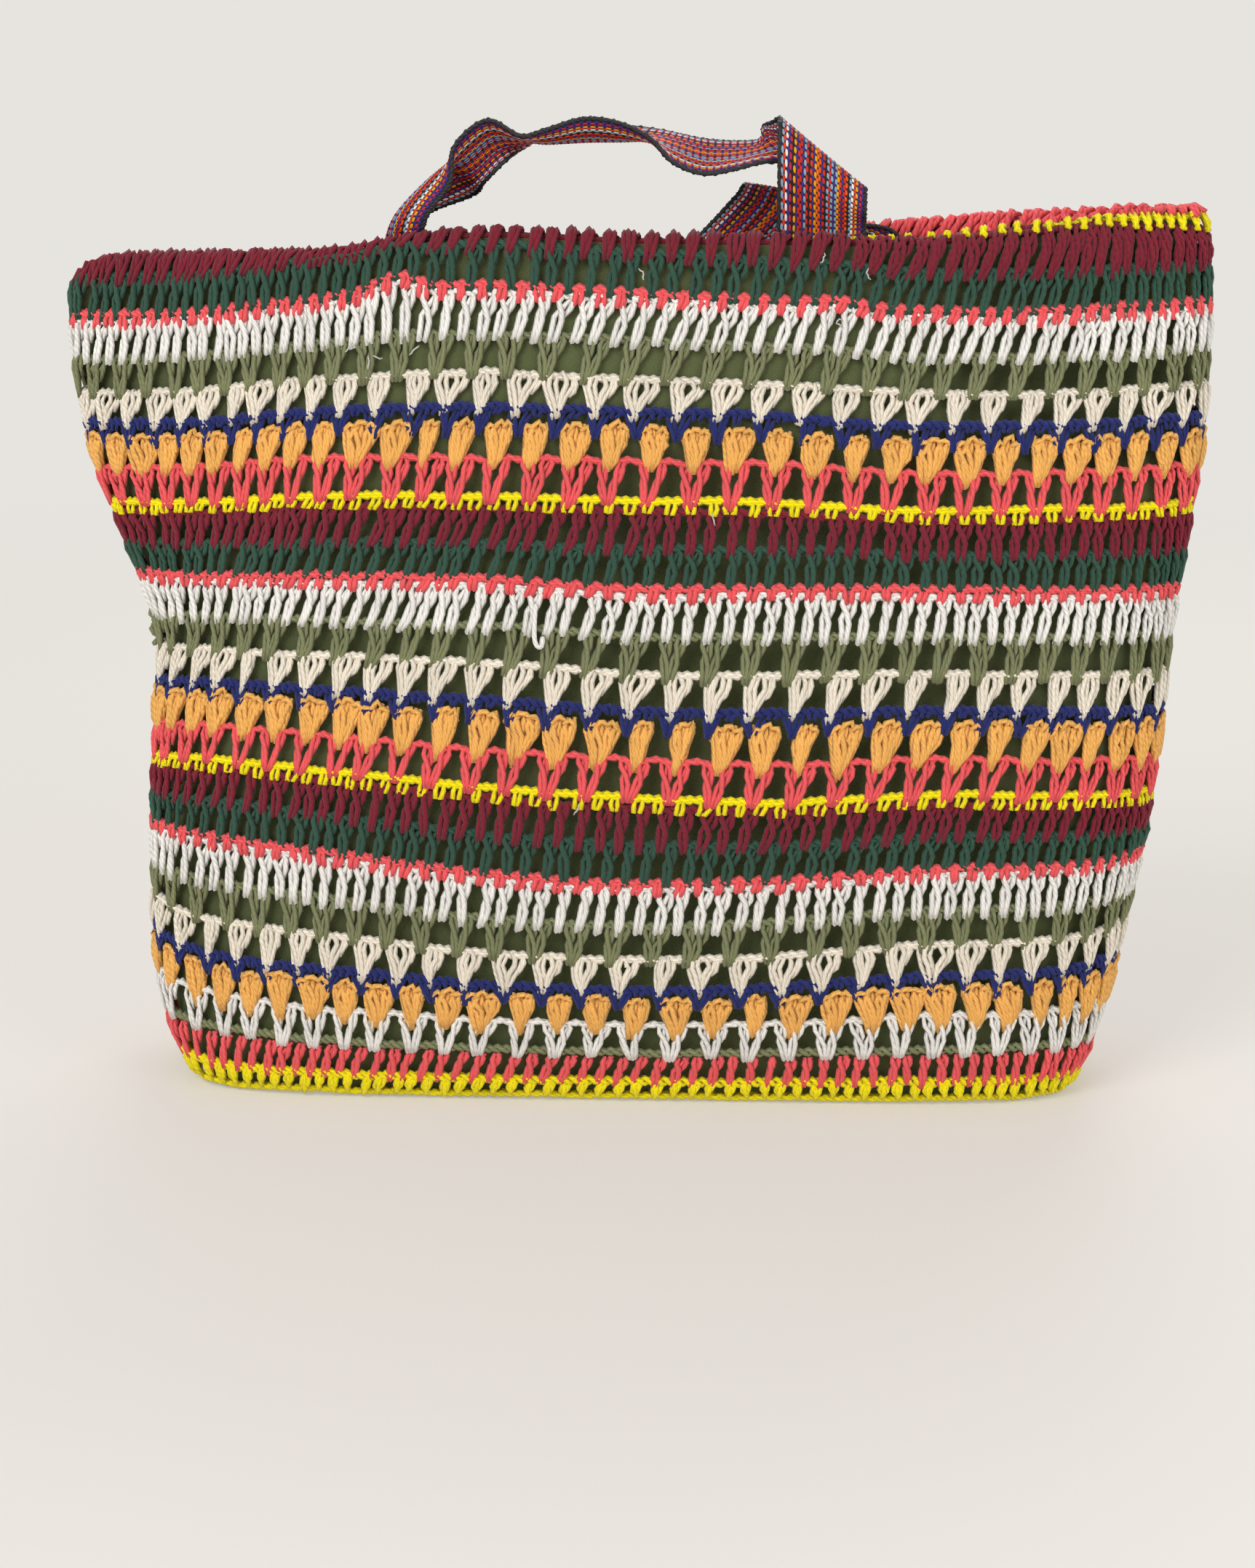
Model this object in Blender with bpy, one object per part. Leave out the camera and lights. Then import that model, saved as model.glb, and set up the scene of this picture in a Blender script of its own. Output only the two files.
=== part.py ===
# Crochet tote bag: canvas inner bag, a crochet cover worked in rows, two webbing handles.
# Sizes are in millimetres and become metres when a mesh is built. Z is up, the front faces -Y
# and the bag stands on z = 0.
import math
import bmesh
import bpy

MM = 0.001

# Driving widths: across the mouth, and front to back at the fullest
TOP_WIDTH = 494
FULL_DEPTH = 136

# Plan shape of the crochet's middle surface, by height, on a bag of the drawn widths:
# half widths to the left and right of the base's middle, half depth, and how square the plan is
DRAWN_TOP_WIDTH = 494
DRAWN_FULL_DEPTH = 136
LEVEL = [0, 25, 60, 120, 160, 200, 240, 280, 340, 380]
LEFT = [188, 203, 210, 211, 209, 207, 221, 236, 244, 240]
RIGHT = [194, 206, 216, 229, 234, 237, 243, 248, 250, 247]
DEPTH = [58, 66, 68, 66, 62, 58, 52, 46, 36, 30]
SQUARE = [4.5, 4.2, 3.8, 3.4, 3.2, 3.0, 2.8, 2.6, 2.3, 2.2]

# The base's middle lies this far from the middle of the mouth, where the origin is
CENTRE = (max(RIGHT) - max(LEFT)) / 2 * TOP_WIDTH / DRAWN_TOP_WIDTH

# How far the rows rise or sag around the bag; 0 is the left end, 0.25 the middle of the front
AROUND = [0.0, 0.06, 0.12, 0.18, 0.25, 0.31, 0.37, 0.43, 0.5, 0.62, 0.75, 0.88, 1.0]
SAG_LEVEL = [0, 99, 135, 223, 259, 348]
SAG = [
    [0, 0, 0, 0, 0, 0, 0, 0, 0, 0, 0, 0, 0],
    [16, 14, 10, 3, -1, 1, 6, 6, 5, 2, 0, 8, 16],
    [7, 12, 9, 4, 0, -1, 2, 0, -3, 0, 2, 5, 7],
    [1, 3, 4, 4, 0, 1, 0, -1, -2, 1, 0, 2, 1],
    [-6, -3, 1, 1, 0, -1, -4, -4, -3, 0, 0, -3, -6],
    [-15, -14, -4, 2, -1, -6, -12, -12, -7, -8, -4, -10, -15],
]
RIM_SAG = [-13, -8, -5, 0, 0, 0, -1, 6, 10, 4, -2, -8, -13]

# Layers, from the crochet inwards
CLOTH = 3.8
HALF = CLOTH / 2
CANVAS = 1.3
STRAP = 1.8
STRAP_WIDTH = 38
CANVAS_EASE = 1.1
FACING_EASE = 1.0
STRAP_EASE = 1.8
SEWN_EASE = 0.9
CANVAS_OUT = HALF + CANVAS_EASE
CANVAS_IN = CANVAS_OUT + CANVAS
ROLL = (CANVAS_IN + FACING_EASE + HALF) / 2

# Gaps that keep neighbouring pieces apart
LIFT = 0.3
ROW_GAP = 0.15
TOOTH_GAP = 0.9
FOLD_GAP = 0.7
SEAT_GAP = 0.4

# Crochet rows from the floor up, with each row's height along the cloth
ROWS = [
    ("yellow_foot", 9.7), ("coral", 11), ("olive_chain", 5), ("white_vee", 11.5),
    ("orange", 11), ("navy", 5.5), ("cream", 13), ("olive", 15.5), ("white", 15),
    ("coral_short", 6), ("green", 14.5), ("maroon", 15), ("yellow", 5),
    ("coral_vee", 14), ("orange", 17), ("navy", 6), ("cream", 14), ("olive", 17.5),
    ("white", 15.5), ("coral_short", 6), ("green", 15), ("maroon", 15.5),
    ("yellow", 5.5), ("coral_vee", 13.5), ("orange", 16.5), ("navy", 6), ("cream", 12),
    ("olive", 17), ("white", 14.5), ("coral_short", 5.5), ("green", 16),
    ("maroon_rim", 25.5), ("yellow_rim", 7), ("coral_facing", 14),
]
# The next row rolls over the rim; this much of it stands outside at the middle of the front
ROWS_BELOW_RIM = 31
SHOWN = 8
RIM = LIFT + sum(height for kind, height in ROWS[:ROWS_BELOW_RIM]) + SHOWN
SHORT = ("navy", "yellow", "coral_short", "olive_chain", "yellow_rim")
TOOTHED = ("cream", "orange")
ROLLED = ("maroon_rim", "yellow_rim", "coral_facing")

# Stitch groups around the bag, and how much closer they stand at both ends
GROUPS = 70
BUNCH = 0.16

# Heights where the canvas is shaped, as shares of its own height: closer at the hollow side
CANVAS_LEVELS = [0, 0.06, 0.16, 0.3, 0.42, 0.5, 0.54, 0.58, 0.62, 0.66, 0.73, 0.81, 0.88, 0.94, 1]
EDGE_BELOW_FOLD = 2

BASE_THICK = 3.6
BASE_INSET = HALF + 0.6

# A tooth's fullest place and the web between two teeth, as shares of the row's height from its
# top, and how far the tooth stands out
TOOTH_FULL = 0.4
WEB_FULL = 0.1
WEB_LOW = 0.35
TOOTH_BULGE = 0.9

# How finely the plan and the rows are drawn
PLAN_POINTS = 480
NORMAL_STEP = 0.006
COLUMN_COUNT = 40
COLUMN_SEARCH = 720
TURN_LEVELS = (10, 120, 280, 365)
TURN_WEIGHT = 1.6
ROLL_STEPS = 5
STRAP_STEPS = 2
CREASE = 40
ROUGHNESS = 0.9

COLOURS = {
    "yellow": (0.84, 0.74, 0.01), "coral": (0.87, 0.10, 0.11), "olive": (0.20, 0.22, 0.10),
    "white": (0.83, 0.82, 0.78), "orange": (0.89, 0.36, 0.08), "navy": (0.02, 0.02, 0.19),
    "cream": (0.81, 0.71, 0.57), "green": (0.03, 0.10, 0.07), "maroon": (0.20, 0.02, 0.04),
    "canvas": (0.07, 0.09, 0.03), "webbing": (0.35, 0.06, 0.08),
}


def smooth(x, xs, ys):
    """Smooth curve through a few heights, flat past both ends."""
    x = min(max(x, xs[0]), xs[-1])
    i = 0
    while i < len(xs) - 2 and x > xs[i + 1]:
        i += 1

    def slope(k):
        a = max(k - 1, 0)
        b = min(k + 1, len(xs) - 1)
        return (ys[b] - ys[a]) / (xs[b] - xs[a])

    h = xs[i + 1] - xs[i]
    t = (x - xs[i]) / h
    return ((2 * t ** 3 - 3 * t ** 2 + 1) * ys[i] + (t ** 3 - 2 * t ** 2 + t) * h * slope(i)
            + (3 * t ** 2 - 2 * t ** 3) * ys[i + 1] + (t ** 3 - t ** 2) * h * slope(i + 1))


SECTIONS = {}


def section(z):
    """Plan outline at one height, with the length run so far, from the left end by the front."""
    key = round(z, 2)
    if key in SECTIONS:
        return SECTIONS[key]
    left = smooth(z, LEVEL, LEFT) * TOP_WIDTH / DRAWN_TOP_WIDTH
    right = smooth(z, LEVEL, RIGHT) * TOP_WIDTH / DRAWN_TOP_WIDTH
    deep = smooth(z, LEVEL, DEPTH) * FULL_DEPTH / DRAWN_FULL_DEPTH
    power = 2 / smooth(z, LEVEL, SQUARE)
    pts = []
    for k in range(PLAN_POINTS + 1):
        a = 2 * math.pi * k / PLAN_POINTS
        c = -math.cos(a)
        s = -math.sin(a)
        side = right if c > 0 else left
        x = math.copysign(abs(c) ** power, c) * side
        y = math.copysign(abs(s) ** power, s) * deep
        pts.append((x, y))
    run = [0.0]
    for p, q in zip(pts, pts[1:]):
        run.append(run[-1] + math.dist(p, q))
    SECTIONS[key] = (pts, run)
    return SECTIONS[key]


def outline(u, z):
    """Point on the plan outline at u, 0 to 1 around."""
    pts, run = section(z)
    u = u % 1.0
    half = run[PLAN_POINTS // 2]
    if u < 0.5:
        want = u * 2 * half
    else:
        want = half + (u - 0.5) * 2 * (run[-1] - half)
    lo = 0
    hi = len(run) - 1
    while hi - lo > 1:
        mid = (lo + hi) // 2
        if run[mid] <= want:
            lo = mid
        else:
            hi = mid
    t = (want - run[lo]) / (run[hi] - run[lo])
    return (pts[lo][0] + (pts[hi][0] - pts[lo][0]) * t, pts[lo][1] + (pts[hi][1] - pts[lo][1]) * t)


def wall(u, z, off):
    """Point at height z, off millimetres outside the middle surface."""
    x, y = outline(u, z)
    ax, ay = outline(u - NORMAL_STEP, z)
    bx, by = outline(u + NORMAL_STEP, z)
    tx = bx - ax
    ty = by - ay
    n = math.hypot(tx, ty)
    nx = ty / n
    ny = -tx / n
    return (x + nx * off, y + ny * off, z), (nx, ny)


def sag(u, s):
    rows = [smooth(u % 1.0, AROUND, row) for row in SAG]
    if s >= SAG_LEVEL[-1]:
        return rows[-1]
    return smooth(s, SAG_LEVEL, rows)


def fold_start(u):
    return RIM + smooth(u % 1.0, AROUND, RIM_SAG) - ROLL - HALF


def cloth(u, s, off):
    """Point at s along the cloth from the floor; past the rim the cloth rolls inward."""
    s = s + sag(u, s)
    top = fold_start(u)
    if s <= top:
        return wall(u, s, off)[0]
    edge, n = wall(u, top, 0)
    a = (s - top) / ROLL
    if a <= math.pi:
        out = -ROLL + (ROLL + off) * math.cos(a)
        up = (ROLL + off) * math.sin(a)
        return (edge[0] + n[0] * out, edge[1] + n[1] * out, top + up)
    down = s - top - math.pi * ROLL
    return wall(u, top - down, -2 * ROLL - off)[0]


def columns(count):
    """Places around the bag, closer together where the plan turns."""
    fine = COLUMN_SEARCH
    cost = [0.0]
    for k in range(fine):
        turn = 0.0
        for z in TURN_LEVELS:
            a = wall(k / fine, z, 0)[1]
            b = wall((k + 1) / fine, z, 0)[1]
            turn += math.acos(max(-1, min(1, a[0] * b[0] + a[1] * b[1]))) / len(TURN_LEVELS)
        cost.append(cost[-1] + 1 / fine + TURN_WEIGHT * turn / (2 * math.pi))
    out = []
    k = 0
    for i in range(count):
        want = cost[-1] * i / count
        while cost[k + 1] < want:
            k += 1
        out.append((k + (want - cost[k]) / (cost[k + 1] - cost[k])) / fine)
    return out


COLUMNS = columns(COLUMN_COUNT)


def stitch_u(g):
    """Place around the bag of stitch group g; the groups stand closer at both ends."""
    w = g / GROUPS
    lo = 0.0
    hi = 1.0
    for _ in range(30):
        mid = (lo + hi) / 2
        if mid + BUNCH * math.sin(4 * math.pi * mid) / (4 * math.pi) < w:
            lo = mid
        else:
            hi = mid
    return (lo + hi) / 2


def yarn(colour):
    """Plain cloth material in one of the bag's colours."""
    if colour in bpy.data.materials:
        return bpy.data.materials[colour]
    mat = bpy.data.materials.new(colour)
    mat.use_nodes = True
    shader = mat.node_tree.nodes["Principled BSDF"]
    shader.inputs["Base Color"].default_value = (*COLOURS[colour], 1)
    shader.inputs["Roughness"].default_value = ROUGHNESS
    shader.inputs["Metallic"].default_value = 0
    return mat


def build(name, colour, verts, faces):
    mesh = bpy.data.meshes.new(name)
    mesh.from_pydata([((x - CENTRE) * MM, y * MM, z * MM) for x, y, z in verts], [], faces)
    bm = bmesh.new()
    bm.from_mesh(mesh)
    bmesh.ops.triangulate(bm, faces=bm.faces[:])
    bmesh.ops.recalc_face_normals(bm, faces=bm.faces[:])
    bm.to_mesh(mesh)
    bm.free()
    mesh.shade_smooth()
    mesh.set_sharp_from_angle(angle=math.radians(CREASE))
    mesh.materials.append(yarn(colour))
    obj = bpy.data.objects.new(name, mesh)
    bpy.context.scene.collection.objects.link(obj)
    return obj


def hoop(name, colour, loops):
    """Closed ring swept around the bag: one closed loop of points at each place."""
    n = len(loops)
    m = len(loops[0])
    verts = [p for loop in loops for p in loop]
    faces = []
    for i in range(n):
        j = (i + 1) % n
        for k in range(m):
            l = (k + 1) % m
            faces.append((i * m + k, j * m + k, j * m + l, i * m + l))
    return build(name, colour, verts, faces)


def plain_row(low, high, steps):
    """Tall stitches: a band that stands out from the canvas."""
    levels = [low + (high - low) * k / steps for k in range(steps + 1)]
    loops = []
    for u in COLUMNS:
        loop = [cloth(u, s, HALF) for s in levels]
        loop += [cloth(u, s, -HALF) for s in reversed(levels)]
        loops.append(loop)
    return loops


def ridge_row(low, high):
    """Short stitches: a ridge."""
    middle = (low + high) / 2
    return [[cloth(u, middle, HALF), cloth(u, high, -HALF), cloth(u, low, -HALF)]
            for u in COLUMNS]


def toothed_row(low, high, shift):
    """Shells and clusters: one bulging tooth for each group, with canvas seen between them."""
    loops = []
    for k in range(GROUPS * 2):
        u = stitch_u(k / 2 + shift)
        if k % 2 == 0:
            bottom = low
            middle = high - TOOTH_FULL * (high - low)
            bulge = HALF + TOOTH_BULGE
        else:
            bottom = high - WEB_LOW * (high - low)
            middle = high - WEB_FULL * (high - low)
            bulge = 0
        loops.append([cloth(u, middle, bulge), cloth(u, high, -HALF), cloth(u, bottom, -HALF)])
    return loops


def crochet_rows():
    """Every row of the cover, each one yarn, worked from the base up and over the rim."""
    low = LIFT
    for number, (kind, height) in enumerate(ROWS, 1):
        high = low + height
        gap = ROW_GAP
        if kind in TOOTHED:
            gap = TOOTH_GAP
        if kind in ROLLED:
            gap = FOLD_GAP
        if kind in SHORT:
            loops = ridge_row(low + gap, high - gap)
        elif kind in TOOTHED:
            loops = toothed_row(low + gap, high - gap, 0 if kind == "orange" else 0.5)
        else:
            steps = ROLL_STEPS if kind == "maroon_rim" else 1
            loops = plain_row(low + gap, high - gap, steps)
        hoop("row_%02d_%s" % (number, kind), kind.split("_")[0], loops)
        low = high


def canvas_bag():
    """Canvas inner bag, open at the top, one sewn piece."""
    n = len(COLUMNS)
    floor_low = BASE_THICK + SEAT_GAP
    floor_high = floor_low + CANVAS
    outer = []
    inner = []
    for f in CANVAS_LEVELS:
        row_out = []
        row_in = []
        for u in COLUMNS:
            top = fold_start(u) - EDGE_BELOW_FOLD
            row_out.append(wall(u, floor_low + (top - floor_low) * f, -CANVAS_OUT)[0])
            row_in.append(wall(u, floor_high + (top - floor_high) * f, -CANVAS_IN)[0])
        outer.append(row_out)
        inner.append(row_in)
    loops = outer + list(reversed(inner))
    verts = [p for loop in loops for p in loop]
    faces = []
    for i in range(len(loops) - 1):
        for k in range(n):
            l = (k + 1) % n
            faces.append((i * n + k, i * n + l, (i + 1) * n + l, (i + 1) * n + k))
    faces.append(tuple(range(n)))
    last = (len(loops) - 1) * n
    faces.append(tuple(last + k for k in reversed(range(n))))
    return build("canvas_bag", "canvas", verts, faces)


def base_panel():
    """Crochet base, the flat face that the bag stands on."""
    n = len(COLUMNS)
    low = []
    high = []
    for u in COLUMNS:
        x, y, _ = wall(u, LIFT, -BASE_INSET)[0]
        low.append((x, y, 0))
        high.append((x, y, BASE_THICK))
    faces = [(k, (k + 1) % n, n + (k + 1) % n, n + k) for k in range(n)]
    faces.append(tuple(range(n)))
    faces.append(tuple(n + k for k in reversed(range(n))))
    return build("crochet_base", "yellow", low + high, faces)


# Where the handles are sewn inside, left and right of the middle, and how far below the rim
# each station of a sewn end lies: flat on the canvas, then over the crochet's facing
SEWN_LEFT = -100
SEWN_FRONT_RIGHT = 81
SEWN_BACK_RIGHT = 105
FRONT_RISE = (77, 65, 54)
FRONT_RISE_OVER = 43
FRONT_FALL_OVER = (13, 30)
FRONT_FALL = (43, 54, 67)
BACK_RISE = (75, 60)
BACK_RISE_OVER = 47
BACK_FALL_OVER = (21, 34)
BACK_FALL = (47, 67)
FLAT = -(CANVAS_IN + SEWN_EASE + STRAP / 2)
OVER_FACING = -(2 * ROLL + HALF + STRAP_EASE + STRAP / 2)

# The free part of each handle, from one sewn end to the other. A station gives the strap's
# middle (x, y from the strap's side of the bag, z from the rim) and, from there, its two edges
# on a strap of DRAWN_WIDTH, so that it can twist, curl across its width and fold.
DRAWN_WIDTH = 38
FRONT_FREE = [
    ((-100, 4, -27), (18, -4, 0), (-13, 8, 0)),
    ((-101, 13, -12), (17, -10, 1), (-1, 15, -1)),
    ((-98, 9, 5), (15, -8, 0), (12, 13, 0)),
    ((-87, 15, 22), (8, -17, -3), (16, 8, -9)),
    ((-70, 13, 27), (-4, -15, 8), (8, -1, -8)),
    ((-58, 13, 36), (-2, -15, 10), (5, -3, -8)),
    ((-46, 16, 37), (0, -18, 2), (0, 12, -3)),
    ((-36, 14, 36), (1, -16, 6), (0, 17, 4)),
    ((-19, 13, 37), (0, -15, 10), (0, 18, 5)),
    ((-5, 14, 37), (1, -16, 8), (1, 18, 6)),
    ((8, 16, 37), (1, -18, 1), (3, 18, 4)),
    ((18, 15, 34), (0, -17, -6), (2, 18, 5)),
    ((31, 14, 30), (0, -16, -7), (0, 17, 7)),
    ((44, 15, 30), (0, -17, -5), (0, 18, 6)),
    ((55, 16, 32), (2, -16, -4), (0, 16, 5)),
    ((62, 13, 35), (10, -8, -8), (-6, 14, 8)),
    ((73, 9, 32), (15, -3, -10), (-14, 7, 13)),
    ((80, 4, 32), (19, -1, -15), (-18, 3, 15)),
    ((81, -3, 29), (19, 1, -14), (-19, -1, 15)),
    ((81, -5, 19), (19, 2, -11), (-19, -2, 14)),
    ((81, 1, 2), (19, 0, -1), (-19, -1, 3)),
]
BACK_FREE = [
    ((-92, -1, -22), (12, -1, -8), (-12, 1, 8)),
    ((-69, -8, -21), (5, -1, -16), (-3, 3, 17)),
    ((-38, -14, -29), (0, 1, -19), (-2, 2, 19)),
    ((-12, -17, -36), (0, 2, -19), (0, 2, 19)),
    ((13, -17, -34), (5, 2, -19), (-8, 2, 17)),
    ((33, -14, -23), (13, 1, -14), (-14, 1, 12)),
    ((49, -13, -9), (15, 0, -12), (-15, 1, 12)),
    ((62, -12, 5), (16, 0, -10), (-18, 0, 9)),
    ((68, -8, 15), (20, 0, -6), (-20, 0, 3)),
    ((74, -3, 7), (21, -1, -6), (-20, 0, 2)),
    ((92, 0, -7), (22, -2, 5), (-19, 0, 0)),
]


def on_wall(x, z, front):
    """Place around the bag of an x on the front or the back wall."""
    lo, hi = (0.02, 0.48) if front else (0.52, 0.98)
    for _ in range(40):
        mid = (lo + hi) / 2
        if (outline(mid, z)[0] < x) == front:
            lo = mid
        else:
            hi = mid
    return (lo + hi) / 2


def sewn(x, below, front, off):
    """Station that lies flat along the inside of the bag, below the rim."""
    z = RIM - below
    half = STRAP_WIDTH / 2
    return [wall(on_wall(x + dx, z, front), z, off)[0] for dx in (half, 0, -half)]


def free(stations, front):
    """The hand's part of a strap, in place."""
    side = wall(on_wall(0, RIM, front), RIM, OVER_FACING)[0][1]
    scale = STRAP_WIDTH / DRAWN_WIDTH
    placed = []
    for middle, right, left in stations:
        x, y, z = middle[0], middle[1] + side, middle[2] + RIM
        placed.append([
            (x + right[0] * scale, y + right[1] * scale, z + right[2] * scale),
            (x, y, z),
            (x + left[0] * scale, y + left[1] * scale, z + left[2] * scale),
        ])
    return placed


def front_stations():
    rise = [sewn(SEWN_LEFT, below, True, FLAT) for below in FRONT_RISE]
    rise.append(sewn(SEWN_LEFT, FRONT_RISE_OVER, True, OVER_FACING))
    fall = [sewn(SEWN_FRONT_RIGHT, below, True, OVER_FACING) for below in FRONT_FALL_OVER]
    fall += [sewn(SEWN_FRONT_RIGHT, below, True, FLAT) for below in FRONT_FALL]
    return rise + free(FRONT_FREE, True) + fall


def back_stations():
    rise = [sewn(SEWN_LEFT, below, False, FLAT) for below in BACK_RISE]
    rise.append(sewn(SEWN_LEFT, BACK_RISE_OVER, False, OVER_FACING))
    fall = [sewn(SEWN_BACK_RIGHT, below, False, OVER_FACING) for below in BACK_FALL_OVER]
    fall += [sewn(SEWN_BACK_RIGHT, below, False, FLAT) for below in BACK_FALL]
    return rise + free(BACK_FREE, False) + fall


def blend(a, b, c, d, t):
    """Smooth curve through b and c."""
    return tuple(0.5 * (2 * q + (r - p) * t + (2 * p - 5 * q + 4 * r - s) * t * t
                        + (3 * q - p - 3 * r + s) * t ** 3)
                 for p, q, r, s in zip(a, b, c, d))


def take(a, b):
    return (a[0] - b[0], a[1] - b[1], a[2] - b[2])


def cross(a, b):
    return (a[1] * b[2] - a[2] * b[1], a[2] * b[0] - a[0] * b[2], a[0] * b[1] - a[1] * b[0])


def unit(a):
    n = math.sqrt(sum(v * v for v in a))
    return tuple(v / n for v in a)


def strap(name, stations):
    """Webbing along its stations: both edges and the middle, given a thickness."""
    rows = []
    last = len(stations) - 1
    for i in range(last):
        a, b, c, d = (stations[max(i - 1, 0)], stations[i], stations[i + 1],
                      stations[min(i + 2, last)])
        for k in range(STRAP_STEPS):
            t = k / STRAP_STEPS
            rows.append([blend(a[j], b[j], c[j], d[j], t) for j in range(3)])
    rows.append(stations[-1])
    verts = []
    for i, row in enumerate(rows):
        ahead = rows[min(i + 1, len(rows) - 1)]
        behind = rows[max(i - 1, 0)]
        outward = []
        for j in range(3):
            along = take(ahead[j], behind[j])
            across = take(row[min(j + 1, 2)], row[max(j - 1, 0)])
            outward.append(unit(cross(along, across)))
        for j in (0, 1, 2):
            verts.append(tuple(p + n * STRAP / 2 for p, n in zip(row[j], outward[j])))
        for j in (2, 1, 0):
            verts.append(tuple(p - n * STRAP / 2 for p, n in zip(row[j], outward[j])))
    faces = []
    for i in range(len(rows) - 1):
        for k in range(6):
            l = (k + 1) % 6
            faces.append((i * 6 + k, i * 6 + l, i * 6 + 6 + l, i * 6 + 6 + k))
    for a in (0, (len(rows) - 1) * 6):
        faces.append((a, a + 1, a + 4, a + 5))
        faces.append((a + 1, a + 2, a + 3, a + 4))
    return build(name, "webbing", verts, faces)


for old in list(bpy.data.objects):
    bpy.data.objects.remove(old)

base_panel()
canvas_bag()
crochet_rows()
strap("handle_front", front_stations())
strap("handle_back", back_stations())
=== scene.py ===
# Looks of the crochet tote bag. Sizes are in millimetres until a mesh is made.
import math

import bpy
import numpy as np
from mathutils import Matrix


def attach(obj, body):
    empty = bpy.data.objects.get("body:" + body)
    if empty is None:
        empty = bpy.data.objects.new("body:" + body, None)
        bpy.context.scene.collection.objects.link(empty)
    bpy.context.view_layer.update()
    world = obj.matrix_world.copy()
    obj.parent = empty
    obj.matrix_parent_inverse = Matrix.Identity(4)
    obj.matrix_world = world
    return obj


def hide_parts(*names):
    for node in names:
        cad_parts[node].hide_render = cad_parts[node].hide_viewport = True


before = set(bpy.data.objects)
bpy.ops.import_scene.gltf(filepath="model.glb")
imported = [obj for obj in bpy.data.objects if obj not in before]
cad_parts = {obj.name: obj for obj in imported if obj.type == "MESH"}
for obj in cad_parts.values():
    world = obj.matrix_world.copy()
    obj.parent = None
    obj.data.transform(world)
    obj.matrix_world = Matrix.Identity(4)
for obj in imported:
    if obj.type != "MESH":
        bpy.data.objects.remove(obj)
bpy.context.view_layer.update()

MM = 0.001
# The middle of the drawing lies this far to the right of the frame's
CENTRE = 3.0
RANDOM = np.random.default_rng(20)


def into_scene(name, data):
    obj = bpy.data.objects.new(name, data)
    bpy.context.scene.collection.objects.link(obj)
    return obj


def dress(name, mesh, slot, *nodes):
    """Puts a mesh on the bag's one body, in place of its solids."""
    obj = into_scene(name, mesh)
    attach(obj, "root")
    if nodes:
        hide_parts(*nodes)


# Materials

class Nodes:
    """A node tree being put together; a value is a number, a colour or an output."""

    def __init__(self, owner):
        owner.use_nodes = True
        self.nodes = owner.node_tree.nodes
        self.links = owner.node_tree.links

    def put(self, socket, value):
        if isinstance(value, (int, float)):
            socket.default_value = value
        elif isinstance(value, tuple):
            socket.default_value = (*value, 1)[:len(socket.default_value)]
        else:
            self.links.new(value, socket)

    def fill(self, node, inputs):
        """Puts each value in the input of that name, where an underline is a space."""
        for name, value in inputs.items():
            self.put(node.inputs[name.replace("_", " ")], value)

    def add(self, kind, out=0, operation=None, **inputs):
        node = self.nodes.new("ShaderNode" + kind)
        if operation:
            node.operation = operation
        self.fill(node, inputs)
        return node.outputs[out]

    def feed(self, node, *values):
        """Puts values in the node's first inputs, in order."""
        for socket, value in zip(node.inputs, values):
            self.put(socket, value)
        return node.outputs[0]

    def maths(self, operation, *values):
        node = self.nodes.new("ShaderNodeMath")
        node.operation = operation
        return self.feed(node, *values)

    def total(self, start, *parts):
        """The start plus each part times its share."""
        for part, share in parts:
            start = self.maths("MULTIPLY_ADD", part, share, start)
        return start

    def mixed_shaders(self, share, one, other):
        return self.feed(self.nodes.new("ShaderNodeMixShader"), share, one, other)

    def mixed(self, share, one, other):
        node = self.nodes.new("ShaderNodeMix")
        node.data_type = "RGBA"
        for k, value in ((0, share), (6, one), (7, other)):
            self.put(node.inputs[k], value)
        return node.outputs[2]

    def scaled(self, colour, share):
        return self.add("VectorMath", operation="SCALE", Vector=colour, Scale=share)

    def eased(self, value, low, high, start=0.0):
        """From start to 1, easing, as the value goes from low to high."""
        node = self.nodes.new("ShaderNodeMapRange")
        node.interpolation_type = "SMOOTHSTEP"
        self.fill(node, {"Value": value, "From Min": low, "From Max": high, "To Min": start})
        return node.outputs["Result"]

    def noise(self, scale, detail):
        return self.add("TexNoise", Scale=scale, Detail=detail,
                        Vector=self.add("TexCoord", "Object"))

    def attribute(self, name, out):
        node = self.nodes.new("ShaderNodeAttribute")
        node.attribute_name = name
        return node.outputs[out]

    def uv(self):
        split = self.nodes.new("ShaderNodeSeparateXYZ")
        self.links.new(self.add("UVMap"), split.inputs[0])
        return split.outputs[0], split.outputs[1]


class Material(Nodes):
    def __init__(self, name):
        self.made = bpy.data.materials.new(name)
        super().__init__(self.made)
        self.shader = self.nodes["Principled BSDF"]

    def finish(self, colour, height, strength, distance, **rest):
        """Sets the colour, the bump that a height gives, and what else is named."""
        bump = self.add("Bump", Strength=strength, Distance=distance, Height=height)
        self.fill(self.shader, {"Base Color": colour, "Normal": bump, **rest})
        return self.made


def linear(code):
    """Linear colour of an sRGB hex code."""
    parts = [int(code[i:i + 2], 16) / 255 for i in (0, 2, 4)]
    return tuple(v / 12.92 if v <= 0.04045 else ((v + 0.055) / 1.055) ** 2.4 for v in parts)


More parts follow.
